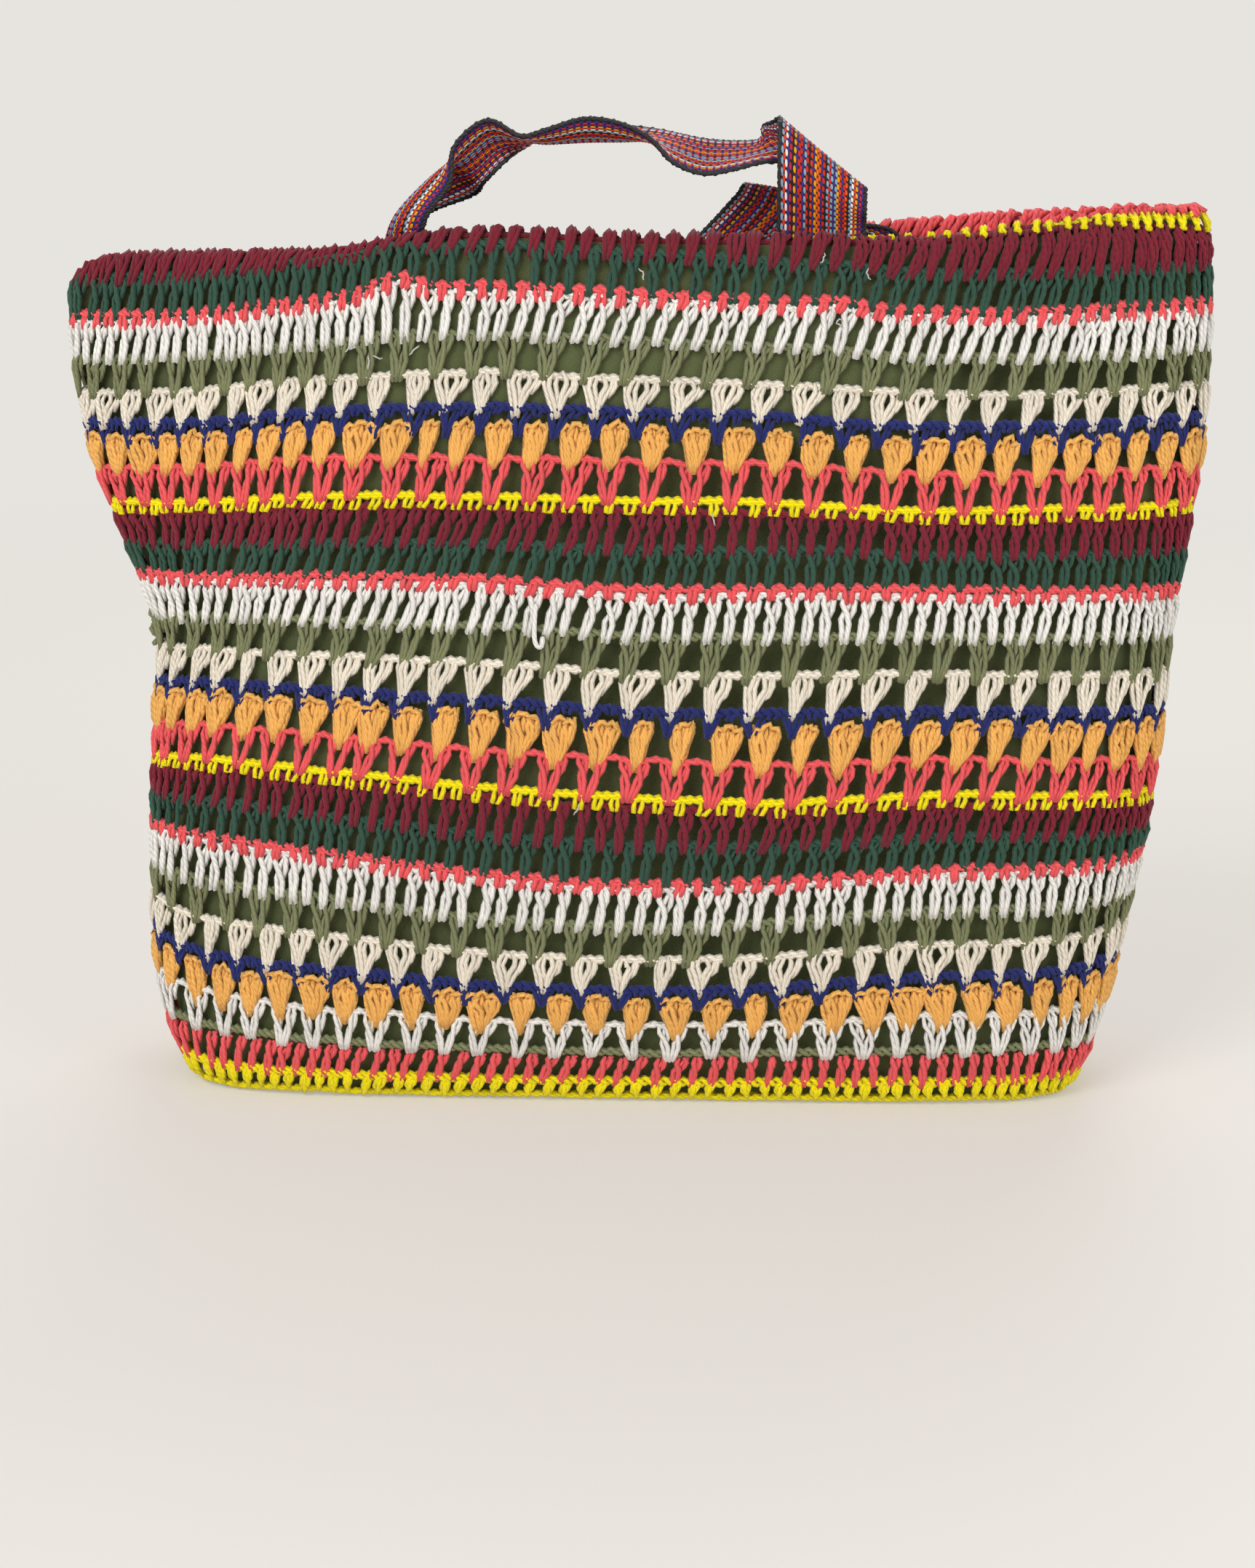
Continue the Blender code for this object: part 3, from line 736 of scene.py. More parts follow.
class Stitches:
    """One row's stitches: where each one's foot and top lie on the cloth."""

    def __init__(self, foot, top, low, high):
        n = len(foot)
        u = stitch_u(top)
        ahead = np.append(u[1:], u[0] + 1)
        behind = np.insert(u[:-1], 0, u[-1] - 1)
        self.pitch = (ahead - behind) / 2 * n / GROUPS
        differ = {name: RANDOM.normal(0, share, n) for name, share in DIFFER.items()}
        self.foot = foot + differ["foot"]
        self.top = top + differ["top"]
        self.low = low + differ["low"]
        self.high = high + differ["high"]
        self.bulge = 1 + differ["bulge"]
        self.proud = differ["proud"]
        self.bend = differ["bend"]
        self.cross = differ["cross"]

    def strand(self, skein, points, foot_mm=0.0, top_mm=0.0, slim=1.0, thick=1.0, loose=1.0,
               spread=0.0):
        """One strand of every stitch. A point is (share of the height, x, distance out)."""
        h, x, d = np.array(points).T[:, None]
        size = (len(self.foot), len(points))
        middle = np.sin(math.pi * np.clip(h, 0, 1))
        h = h + self.cross[:, None] * middle + RANDOM.normal(0, POINT_UP * loose, size)
        x = x * self.bulge[:, None] * slim + RANDOM.normal(0, POINT_ASIDE * loose, size)
        x = x + self.bend[:, None] * middle
        d = d - SUNK + self.proud[:, None] + RANDOM.normal(0, POINT_OUT, size)
        g = self.foot[:, None] + (self.top - self.foot)[:, None] * h
        s = self.low[:, None] + (self.high - self.low)[:, None] * h
        girth = np.interp(s, TABLE_Z, GIRTH)
        squeeze = np.clip(self.pitch[:, None] * girth / PITCH, *SQUEEZE) ** 0.5
        if spread:
            x = x * (1 + spread * crowded(stitch_u(g), s))
        u = stitch_u(g) + (foot_mm + (top_mm - foot_mm) * h + x) * squeeze / girth
        pts = cloth(u, s, d)
        along = cloth(u[:, :1] + STEP_ASIDE, s[:, :1], d[:, :1]) - pts[:, :1]
        skein.tube(pts, along, thick)

    def strands(self, skein, shapes, **how):
        for points in shapes:
            self.strand(skein, points, **how)

    def both_ways(self, skein, points, thick=1.0):
        mirrored = [(h, -x, d) for h, x, d in points]
        self.strands(skein, (points, mirrored), thick=thick)


# How far a chain wanders up or down, and its twists in each group
CHAIN_WANDER = 0.3
CHAIN_TWISTS = 2


def chain(skein, course, s, tall=1.15, deep=0.8, out=0.6, wave=0.0, thick=1.1, steps=8):
    """Two strands twisted together right round the bag, as the tops of a row."""
    g = np.arange(GROUPS * steps) / steps
    low = RANDOM.normal(0, CHAIN_WANDER, GROUPS)
    wobble = np.interp(g, np.arange(GROUPS + 1), np.append(low, low[0]))
    lift = wobble + wave * np.cos(2 * math.pi * g)
    u = stitch_u(course.at(g))
    along = s(u) if callable(s) else s
    for start in (0, math.pi):
        a = 2 * math.pi * CHAIN_TWISTS * g + start
        pts = cloth(u, along + lift + tall * np.cos(a), out - SUNK + deep * np.sin(a))
        skein.tube(pts[None], UP, thick, closed=True)


# Rows of the crochet, from the floor up: name that starts with the colour, kind, and foot,
# top and lean in millimetres

ROWS = [
    ("yellow_foot", "foot", 2.4, 12.8, 0.6),
    ("coral", "stub", 9.2, 23.8, 3.6),
    ("olive_chain", "links", 18.5, 27.0, 0.0),
    ("white_vee", "vee", 22.2, 39.1, 1.5),
    ("orange", "cluster", 32.3, 51.1, 1.6),
    ("navy", "notch", 45.7, 56.1, 0.0),
    ("cream", "shell", 49.8, 69.2, 3.1),
    ("olive", "pair", 64.9, 84.7, 3.0),
    ("white", "tall", 79.2, 100.7, 3.9),
    ("coral_short", "short", 96.5, 104.4, 0.0),
    ("green", "tall", 100.8, 119.4, 2.0),
    ("maroon", "tall", 114.5, 134.5, 3.0),
    ("yellow", "loops", 129.6, 139.1, 0.0),
    ("coral_vee", "vee", 134.5, 153.9, 2.0),
    ("orange", "cluster", 147.4, 170.2, 4.4),
    ("navy", "notch", 163.8, 175.8, 0.0),
    ("cream", "shell", 169.6, 190.9, 6.0),
    ("olive", "pair", 185.7, 207.4, 3.4),
    ("white", "tall", 202.2, 224.1, 3.4),
    ("coral_short", "short", 220.2, 228.3, 0.0),
    ("green", "tall", 225.3, 243.7, 1.6),
    ("maroon", "tall", 238.9, 259.4, 1.8),
    ("yellow", "loops", 255.4, 264.2, 0.0),
    ("coral_vee", "vee", 259.4, 279.8, 2.0),
    ("orange", "cluster", 273.7, 294.4, 3.6),
    ("navy", "notch", 287.4, 301.4, 0.0),
    ("cream", "shell", 295.6, 314.7, 4.0),
    ("olive", "pair", 310.8, 331.1, 2.4),
    ("white", "tall", 326.5, 348.3, 5.2),
    ("coral_short", "short", 342.9, 351.9, 0.0),
    ("green", "tall", 346.8, 367.1, 3.2),
    ("maroon_rim", "rim", 361.5, 389.5, 3.0),
    ("yellow_rim", "edge", 385.5, 396.0, 0.0),
    ("coral_facing", "facing", 393.5, 411.0, 8.0),
]
# How far round a row starts from the one below, in groups
STEP_ROUND = {"foot": 0.0, "cluster": 0.0, "shell": 0.0, "notch": 0.5, "pair": 0.5}
PLAIN_STEP_ROUND = 0.25
# Where a dense row's and a wide row's stitches stand, in groups
DENSE = np.arange(GROUPS * 2) / 2
WIDE = np.arange(GROUPS) * 1.0
WIDE_KINDS = ("vee", "pair", "cluster", "shell", "notch")
# Radius of a strand
YARN_RADIUS = {"green": 1.22, "olive": 1.12, "maroon": 1.28, "navy": 1.12, "white": 1.33}
PLAIN_RADIUS = 1.33
# How much wider a dense row's stitches are than drawn
DENSE_WIDE = 1.15

# Strands of one stitch: each point is its share of the height, then millimetres aside and out.
# A tall stitch has two long strands, one crossing over, and a shoulder behind.

POST = [
    [(0.06, -0.5, -0.2), (0.0, -0.75, 2.3), (0.24, -0.95, 2.5), (0.46, -1.3, 2.0),
     (0.68, 0.1, 1.4), (0.92, 1.9, 0.8)],
    [(0.07, 0.6, -0.2), (0.01, 0.75, 2.2), (0.2, 0.85, 2.6), (0.38, 1.05, 2.8),
     (0.56, 0.1, 3.2), (0.75, -1.6, 2.5), (0.92, -1.4, 1.2)],
    [(0.93, 0.2, 1.0), (0.80, 2.1, 2.0), (0.63, 2.0, 2.0), (0.44, 1.0, 1.2)],
]
# Where the foot and the top of each post of a stitch lie, in millimetres from its middle
VEE = ((-1.0, -4.6), (1.0, 4.6))
PAIR = ((-0.7, -3.6), (0.7, 3.9))
WRAP = [
    [(0.84, -1.0, 1.2), (0.62, 1.5, 2.4), (0.36, 1.2, 2.6), (0.06, -0.3, 1.6)],
    [(0.86, 0.8, 1.4), (0.60, -1.3, 2.8), (0.36, -1.5, 2.6), (0.04, 0.9, 1.4)],
    [(0.70, 0.2, 1.6), (0.48, -0.2, 3.1), (0.20, 0.4, 3.0), (0.0, 0.0, 1.8)],
]
LEG = [(0.75, 1.0, 1.4), (0.35, 1.15, 2.6), (0.0, 0.95, 2.5), (0.04, 0.8, 0.0)]
FAN = [
    [(0.08, -1.0, 0.0), (0.02, -1.3, 1.5), (0.26, -2.5, 1.9), (0.52, -4.3, 1.7), (0.76, -5.6, 1.5),
     (0.93, -4.9, 1.1)],
    [(0.0, -0.9, 1.6), (0.22, -1.4, 2.6), (0.46, -2.6, 2.7), (0.68, -3.9, 2.9), (0.9, -5.4, 1.5)],
    [(0.0, -0.2, 1.7), (0.24, -0.3, 3.0), (0.46, -1.3, 3.4), (0.62, -2.9, 3.2), (0.78, -2.2, 3.2),
     (0.93, -0.8, 1.6)],
    [(0.0, 0.4, 1.6), (0.26, 0.7, 3.1), (0.48, 0.4, 3.7), (0.66, -1.0, 3.7), (0.9, -3.0, 2.2)],
    [(0.02, 0.8, 1.4), (0.28, 1.5, 2.8), (0.50, 2.3, 3.2), (0.68, 1.6, 3.4), (0.93, 2.9, 1.6)],
    [(0.03, 1.2, 1.2), (0.24, 2.3, 2.2), (0.46, 3.2, 2.7), (0.66, 3.4, 3.2), (0.88, 1.4, 2.2)],
    [(0.12, 1.6, 0.2), (0.34, 3.2, 1.4), (0.56, 4.8, 1.7), (0.78, 5.8, 1.7), (0.93, 5.0, 1.2)],
    [(0.42, 3.0, 1.8), (0.60, 4.4, 2.6), (0.76, 4.3, 2.8), (0.91, 5.4, 1.5)],
]
CROWN = [
    [(0.70, -5.9, 1.2), (0.83, -5.2, 2.4), (0.91, -3.8, 3.0), (0.86, -1.8, 3.2)],
    [(0.82, -2.8, 2.8), (0.94, -1.4, 3.3), (0.97, 0.6, 3.2), (0.88, 2.4, 2.8)],
    [(0.86, 1.6, 3.2), (0.92, 3.4, 3.0), (0.84, 5.0, 2.4), (0.71, 5.9, 1.1)],
]
SHELL = [
    [(0.06, -0.6, 0.0), (0.0, -1.0, 1.8), (0.22, -1.9, 2.3), (0.48, -3.4, 2.0), (0.74, -4.7, 1.7),
     (0.93, -4.5, 1.2)],
    [(0.0, -0.2, 2.0), (0.26, -0.6, 3.0), (0.48, -1.7, 3.2), (0.66, -3.1, 3.1), (0.82, -2.9, 2.7),
     (0.93, -1.6, 1.8)],
    [(0.28, 0.2, 2.4), (0.48, -0.1, 2.8), (0.70, -1.2, 2.7), (0.90, -0.4, 2.0)],
    [(0.0, 0.4, 1.8), (0.24, 1.2, 2.6), (0.48, 2.9, 2.4), (0.70, 4.6, 2.0), (0.93, 5.1, 1.2)],
    [(0.02, 0.8, 1.9), (0.28, 0.9, 3.1), (0.50, 1.4, 3.3), (0.70, 2.8, 3.2), (0.82, 2.4, 2.9),
     (0.93, 1.2, 2.0)],
    [(0.45, 3.7, 1.2), (0.58, 5.0, 1.6), (0.74, 6.0, 1.8), (0.93, 5.4, 1.0)],
]
LOOP_LEG = [(0.75, 1.3, 1.2), (0.45, 1.6, 2.3), (0.17, 1.3, 2.4), (0.15, 0.4, 1.8)]
FILLING = [(0.12, -0.5, 0.9), (0.5, -2.2, 1.2), (0.88, -3.2, 1.2)]
MIDDLE = [(0.25, 0.0, 1.0), (0.6, 0.0, 1.4), (0.93, 0.0, 1.4)]
NOTCH = [
    [(0.80, -4.8, 1.2), (0.50, -3.2, 2.4), (0.2, -1.3, 2.8), (0.0, -0.6, 2.4), (0.05, -0.5, 0.4)],
    [(0.80, -2.2, 1.4), (0.45, -1.2, 2.8), (0.10, 0.0, 2.8)],
]
# Hanging strands lie half a group on, and their feet this share up the row
HANG_ASIDE = 0.5
HANG_FROM = 0.60
HANG = [(0.78, 2.2, 1.6), (0.40, 1.4, 2.9), (0.05, 0.9, 3.0), (0.08, 0.8, 1.2)]
EDGE = [
    [(0.85, -1.6, 1.0), (0.45, -0.8, 2.0), (0.14, 0.7, 2.4), (0.10, 1.0, 0.8)],
    [(0.80, 1.0, 1.0), (0.45, 0.4, 2.4), (0.18, -0.6, 2.4), (0.16, -0.8, 0.8)],
]
RIM_POST = [
    [(0.06, -0.5, -0.2), (0.0, -0.75, 2.3), (0.2, -1.0, 2.5), (0.36, -1.4, 2.4), (0.5, -1.3, 2.7),
     (0.64, -0.5, 2.8), (0.78, 0.8, 2.3), (0.93, 1.8, 1.3)],
    [(0.07, 0.6, -0.2), (0.01, 0.75, 2.2), (0.18, 1.1, 2.6), (0.36, 1.6, 2.7), (0.5, 1.5, 3.0),
     (0.64, 0.9, 3.3), (0.78, -0.7, 3.0), (0.93, -1.5, 1.4)],
    [(0.15, 0.1, 2.2), (0.33, 0.2, 3.3), (0.48, -0.2, 3.7), (0.64, -1.1, 2.9), (0.8, -1.9, 1.9)],
    [(0.4, 1.2, 1.6), (0.55, 2.6, 1.8), (0.7, 2.7, 2.2), (0.86, 1.2, 1.9)],
]


# Above this height the rim's rows slip down the cloth: millimetres by place around
FACING_FROM = 385
SLIP_AROUND = [0, 0.03, 0.28, 0.35, 0.40, 0.45, 0.53, 0.70, 0.78, 0.93, 0.955, 0.985, 1]
SLIP = [-2, 0, 0, -8.5, -7, -4.5, -13, -13, 0, 0, -8, -8, -2]


def slip(u, s):
    """How far the rim's last rows sit lower on the cloth, where it rolls over more."""
    return np.interp(u % 1.0, SLIP_AROUND, SLIP) * (s > FACING_FROM)


def below_top(high, below=2.2):
    """Where the chain along a row's tops lies."""
    return lambda u: high - below + slip(u, high)


# Height of the chain at the foot
LOWEST_CHAIN = 2.5


def make_row(skein, course, row, kind, low, high):
    """The strands of one row; a kind is a way of stitching."""
    ridge = below_top(high)
    if kind == "tall":
        row.strands(skein, POST, slim=DENSE_WIDE)
        chain(skein, course, ridge)
    elif kind == "facing":
        row.strands(skein, POST, foot_mm=-3.0, top_mm=3.0, slim=DENSE_WIDE, thick=1.1)
        chain(skein, course, ridge)
        chain(skein, course, crest_at_back, tall=1.2, deep=0.5, out=-0.9, steps=6)
    elif kind == "stub":
        row.strands(skein, POST, slim=0.85, thick=0.93)
    elif kind == "foot":
        row.strands(skein, WRAP)
        chain(skein, course, ridge, tall=1.5, deep=0.9, out=1.5, thick=0.95, steps=12)
        chain(skein, course, LOWEST_CHAIN, tall=0.8, deep=0.6, thick=0.9)
    elif kind == "rim":
        row.strands(skein, RIM_POST, slim=DENSE_WIDE, thick=0.95, spread=0.5)
        chain(skein, course, ridge, out=-0.2, thick=0.9)
        chain(skein, course, behind_crest, tall=1.2, deep=0.5, out=-1.0, thick=1.1)
    elif kind == "edge":
        row.strands(skein, EDGE)
        chain(skein, course, ridge, tall=0.9, out=-1.2, thick=0.95)
    elif kind == "links":
        chain(skein, course, ridge, tall=1.2, out=0.8)
    elif kind == "short":
        row.both_ways(skein, LEG)
        chain(skein, course, below_top(high, 3.0), out=1.2)
    elif kind == "loops":
        row.both_ways(skein, LOOP_LEG, thick=0.84)
        chain(skein, course, ridge, tall=0.95, out=0.9)
    elif kind == "vee":
        thick = 0.8 if skein.colour == "white" else 0.86
        for foot_mm, top_mm in VEE:
            row.strands(skein, POST, foot_mm=foot_mm, top_mm=top_mm, slim=0.85, thick=thick)
        chain(skein, course, below_top(high, 1.8), wave=-0.9, tall=0.7, thick=0.9)
    elif kind == "pair":
        for foot_mm, top_mm in PAIR:
            row.strands(skein, POST, foot_mm=foot_mm, top_mm=top_mm, slim=0.9)
        chain(skein, course, ridge)
    elif kind == "cluster":
        row.both_ways(skein, FILLING, thick=1.5)
        row.strand(skein, MIDDLE, thick=1.5)
        row.strands(skein, FAN + CROWN, loose=2.4)
    elif kind == "shell":
        row.strands(skein, SHELL, thick=0.9, loose=1.6)
        chain(skein, course, below_top(high, 1.9), tall=0.9, out=0.9)
    elif kind == "notch":
        for points in NOTCH:
            row.both_ways(skein, points, thick=0.95)
        row.foot = row.foot + HANG_ASIDE
        row.top = row.top + HANG_ASIDE
        row.low = row.low + (high - low) * HANG_FROM
        row.both_ways(skein, HANG, thick=0.86)
        chain(skein, course, ridge, wave=-0.4, tall=1.2, deep=0.9, out=1.7, steps=12)


def make_rows():
    course = Course()
    for number, (label, kind, low, high, lean) in enumerate(ROWS, 1):
        colour = label.split("_")[0]
        skein = Skein(colour, YARN_RADIUS.get(colour, PLAIN_RADIUS))
        wide = kind in WIDE_KINDS
        places = WIDE if wide else DENSE
        course.phase += STEP_ROUND.get(kind, PLAIN_STEP_ROUND)
        course.drift(low)
        foot = course.at(places)
        more = course.climb(low, high, lean, MOST_EXTRA if wide else MOST_EXTRA_DENSE)
        top = course.at(places) + course.extra(places, more)
        row = Stitches(foot, top, low, high)
        row.low += slip(stitch_u(foot), low)
        row.high += slip(stitch_u(top), high)
        make_row(skein, course, row, kind, low, high)
        if kind == "pair":
            course.phase += PLAIN_STEP_ROUND
        node = f"row_{number:02d}_{label}"
        skein.piece(node.replace("row", "stitches"), node)


# Thread ends and loops that have worked loose: place around, along the cloth, direction

THREADS = (
    (0.1370, 327, 200), (0.1400, 323, 250), (0.1420, 324, 330), (0.1565, 321, 350),
    (0.1445, 383, 60), (0.1785, 381, 80), (0.3205, 391, 190), (0.3270, 364, 100),
    (0.3350, 344, 240), (0.3375, 341, 210), (0.3490, 365, 260), (0.3615, 339, 120),
    (0.2795, 251, 20), (0.2520, 360, 290), (0.2200, 128, 40),
)
THREAD_POINTS = 6
THREAD_STEP = 1.15
THREAD_TURN = 0.55
THREAD_OUT = 2.6
THREAD_RISE = 0.5
# Points of a pulled loop: place around, along the cloth, out
LOOSE_LOOP = [(0.2008, 216, 3.0), (0.1996, 210, 4.0), (0.1988, 202, 4.4), (0.1998, 198.5, 4.4),
              (0.2016, 198.6, 4.2), (0.2022, 202.5, 3.6)]
LOOP_SAMPLES = 16
KNOT_AT = (0.002, 196)
KNOT_STRANDS = 9
KNOT_POINTS = 8
# Its strands are this far apart, and wind this far up, around and out
KNOT_PITCH = 1.1
KNOT_UP = 3.2
KNOT_AROUND = 3.6
KNOT_OUT = (3.4, 1.6)
KNOT_STRAY = 0.8
KNOT_TURN = 1.5 * math.pi
# Length around the bag where these lie
GIRTH_HERE = 1020


def make_loose_bits():
    ends = Skein("white", radius=0.33)
    for u, s, degrees in THREADS:
        turns = np.cumsum(RANDOM.normal(0, THREAD_TURN, THREAD_POINTS))
        heading = math.radians(degrees) + turns
        x = np.cumsum(THREAD_STEP * np.cos(heading))
        y = np.cumsum(THREAD_STEP * np.sin(heading))
        out = THREAD_OUT + THREAD_RISE * np.arange(THREAD_POINTS) * RANDOM.random()
        ends.tube(cloth(u + x / GIRTH_HERE, s + y, out)[None], (0.0, -1.0, 0.2))
    ends.piece("thread_ends")
    loop = Skein("white", radius=1.15)
    loop.tube(through(cloth(*np.array(LOOSE_LOOP).T)[None], LOOP_SAMPLES), (1.0, 0.0, 0.0),
              sides=6)
    loop.piece("pulled_loop")
    knot = Skein("olive", radius=1.4)
    for k in range(KNOT_STRANDS):
        a = np.linspace(0, KNOT_TURN, KNOT_POINTS) + RANDOM.random() * 6
        s = KNOT_AT[1] + KNOT_PITCH * (k - KNOT_STRANDS / 2) + KNOT_UP * np.sin(a)
        u = KNOT_AT[0] + (KNOT_AROUND * np.cos(a) + RANDOM.normal(0, KNOT_STRAY)) / GIRTH_HERE
        pts = cloth(u, s, KNOT_OUT[0] + KNOT_OUT[1] * np.sin(a * 1.7 + k))
        knot.tube(pts[None], (-1.0, -0.3, 0.0), sides=5)
    knot.piece("side_knot")


# Canvas inner bag

CANVAS_COLUMNS = 180
CANVAS_ROWS = 40
FLOOR_LOW = 4.0
EDGE_ABOVE_FOLD = 0.8
UNITS_AROUND = 100
SHARP_DEGREES = 50
# How far the canvas hangs back: millimetres by place around, and the share of it by height
HOLLOW_AROUND = [0, 0.1, 0.2, 0.32, 0.42, 0.5, 0.62, 0.75, 0.9, 1]
HOLLOW = [1, 1, 3.5, 9, 2.5, 0.5, 4, 6, 4, 1]
HOLLOW_LEVEL = [0, 20, 60, 120, 170, 220, 265, 290, 400]
HOLLOW_SHARE = [0.1, 0.2, 0.5, 0.7, 0.8, 1, 0.9, 0, 0]
# The same under the rim, near the right end
RIM_HOLLOW_AROUND = [0, 0.37, 0.41, 0.47, 0.5, 1]
RIM_HOLLOW = [0, 0, 7, 7, 1, 0]
RIM_HOLLOW_LEVEL = [0, 275, 292, 340, 358, 400]
RIM_HOLLOW_SHARE = [0, 0, 1, 1, 0, 0]
# Each wave's depth, waves around and millimetres up
RIPPLES = ((0.5, 40, 23), (0.4, 67, -31))


def hollow(u, z):
    """How far the canvas hangs back from the crochet: most at the right of the front."""
    around = smooth(u % 1.0, HOLLOW_AROUND, HOLLOW)
    ripple = sum(deep * np.sin(u * waves + z / tall) for deep, waves, tall in RIPPLES)
    by_the_rim = (smooth(u % 1.0, RIM_HOLLOW_AROUND, RIM_HOLLOW)
                  * smooth(z, RIM_HOLLOW_LEVEL, RIM_HOLLOW_SHARE))
    return (around + ripple) * smooth(z, HOLLOW_LEVEL, HOLLOW_SHARE) + by_the_rim


def sheet_mesh(name, verts, faces, uvs, kind):
    """A smooth mesh, in metres, with a place in the weave for each corner of its faces."""
    mesh = bpy.data.meshes.new(name)
    mesh.from_pydata((verts * MM).tolist(), [], faces)
    layer = mesh.uv_layers.new(name="UVMap")
    layer.data.foreach_set("uv", uvs.ravel().astype(np.float32))
    mesh.polygons.foreach_set("use_smooth", np.ones(len(mesh.polygons), bool))
    mesh.materials.append(material(kind))
    return mesh


def make_canvas():
    u = np.arange(CANVAS_COLUMNS) / CANVAS_COLUMNS
    share = np.linspace(0, 1, CANVAS_ROWS)
    top = fold_start(u) + EDGE_ABOVE_FOLD
    rings = []
    uvs = []
    for inward, floor in ((CANVAS_OUT, FLOOR_LOW), (CANVAS_IN, FLOOR_LOW + CANVAS)):
        z = floor + share[:, None] * (top - floor)[None]
        rings.append(wall(u[None], z, -inward - hollow(u[None], z)))
        uvs.append(np.stack([np.broadcast_to(u * UNITS_AROUND, z.shape), z / UV_UNIT], -1))
    verts = np.concatenate([rings[0], rings[1][::-1]])
    flat_uv = np.concatenate([uvs[0], uvs[1][::-1]]).reshape(-1, 2)
    m, n = verts.shape[:2]
    i = np.arange(m - 1)[:, None] * n
    k = np.arange(n)
    l = (k + 1) % n
    quads = np.stack([i + k, i + l, i + n + l, i + n + k], -1).reshape(-1, 4)
    floors = [k[::-1], (m - 1) * n + k]
    coords = flat_uv[np.concatenate([quads.ravel(), *floors])]
    around = coords[:quads.size, 0].reshape(-1, 4)
    split = np.ptp(around, axis=1) > UNITS_AROUND / 2
    around[split] += np.where(around[split] < UNITS_AROUND / 2, UNITS_AROUND, 0)
    faces = quads.tolist() + [floor.tolist() for floor in floors]
    mesh = sheet_mesh("canvas_cloth", verts.reshape(-1, 3), faces, coords, "canvas")
    mesh.set_sharp_from_angle(angle=math.radians(SHARP_DEGREES))
    dress("canvas_cloth", mesh, "canvas", "canvas_bag")


# Base

BASE_ROUNDS = 11
BASE_TWISTS = 26
BASE_POINTS = 130
# How far the outermost round lies from the wall, and each one from the next
BASE_INSET = 5.5
BASE_PITCH = 4.9
# The innermost rounds lie as far in as this, and are narrower front to back
DEEPEST_INSET = 50
INNER_NARROW = 0.35
BASE_MIDDLE = 2.0
# How far its strands wind up and front to back
BASE_UP = 0.45
BASE_ASIDE = 1.2


def make_base():
    """Rounds of yellow stitches under the bag."""
    skein = Skein("yellow", radius=1.25)
    g = np.arange(BASE_POINTS) / BASE_POINTS
    a = 2 * math.pi * g * BASE_TWISTS
    for k in range(BASE_ROUNDS):
        inset = BASE_INSET + BASE_PITCH * k
        middle = wall(g, 1.0, -min(inset, DEEPEST_INSET))
        middle[:, 2] = BASE_MIDDLE
        if inset > DEEPEST_INSET:
            middle[:, 1] *= INNER_NARROW
        for turn in (0, math.pi):
            pts = middle.copy()
            pts[:, 2] += BASE_UP * np.cos(a + turn)
            pts[:, 1] += BASE_ASIDE * np.sin(a + turn)
            skein.tube(pts[None], UP, closed=True)
    skein.piece("base_rounds", "crochet_base")


# Webbing handles

STRAP = 1.8
STRAP_WIDTH = 38.0
SEWN_EASE = 0.9
STRAP_EASE = 1.8
# How far outside the middle surface a sewn end lies: flat on the canvas, then over the facing
FLAT = -(CANVAS_IN + SEWN_EASE + STRAP / 2)
OVER_FACING = -(2 * ROLL + HALF + STRAP_EASE + STRAP / 2)
# Stations of each handle's free part: its middle, and from there its two edges
FRONT_FREE = [
    ((-103, 4, -27), (18, -4, 0), (-13, 8, 0)),
    ((-105, 13, -12), (17, -10, 1), (-1, 15, -1)),
    ((-100, 9, 5), (15, -8, 0), (12, 13, 0)),
    ((-83, 15, 22), (8, -17, -3), (16, 8, -9)),
    ((-70, 13, 27), (-4, -15, 8), (8, -1, -8)),
    ((-58, 13, 36), (-2, -15, 10), (5, -3, -8)),
    ((-46, 16, 37), (0, -18, 2), (0, 12, -3)),
    ((-36, 14, 36), (1, -16, 6), (0, 17, 4)),
    ((-19, 13, 37), (0, -15, 10), (0, 18, 5)),
    ((-5, 14, 37), (1, -16, 8), (1, 18, 6)),
    ((8, 16, 37), (1, -18, 1), (3, 18, 4)),
    ((18, 15, 34), (0, -17, -6), (2, 18, 5)),
    ((31, 14, 30), (0, -16, -7), (0, 17, 7)),
    ((44, 15, 30), (0, -17, -5), (0, 18, 6)),
    ((55, 16, 32), (2, -16, -4), (0, 16, 5)),
    ((62, 13, 35), (10, -8, -8), (-6, 14, 8)),
    ((73, 9, 32), (15, -3, -10), (-14, 7, 13)),
    ((80, 4, 32), (19, -1, -15), (-18, 3, 15)),
    ((81, -3, 29), (19, 1, -14), (-19, -1, 15)),
    ((81, -5, 19), (19, 2, -11), (-19, -2, 14)),
    ((81, 1, 2), (19, 0, -1), (-19, -1, 3)),
]
BACK_FREE = [
    ((-92, -1, -22), (12, -1, -8), (-12, 1, 8)),
    ((-69, -8, -21), (5, -1, -16), (-3, 3, 17)),
    ((-38, -14, -29), (0, 1, -19), (-2, 2, 19)),
    ((-12, -17, -36), (0, 2, -19), (0, 2, 19)),
    ((13, -17, -34), (5, 2, -19), (-8, 2, 17)),
    ((33, -14, -23), (13, 1, -14), (-14, 1, 12)),
    ((49, -13, -9), (15, 0, -12), (-15, 1, 12)),
    ((62, -12, 5), (16, 0, -10), (-18, 0, 9)),
    ((68, -8, 15), (20, 0, -6), (-20, 0, 3)),
    ((74, -3, 7), (21, -1, -6), (-20, 0, 2)),
    ((92, 0, -7), (22, -2, 5), (-19, 0, 0)),
]
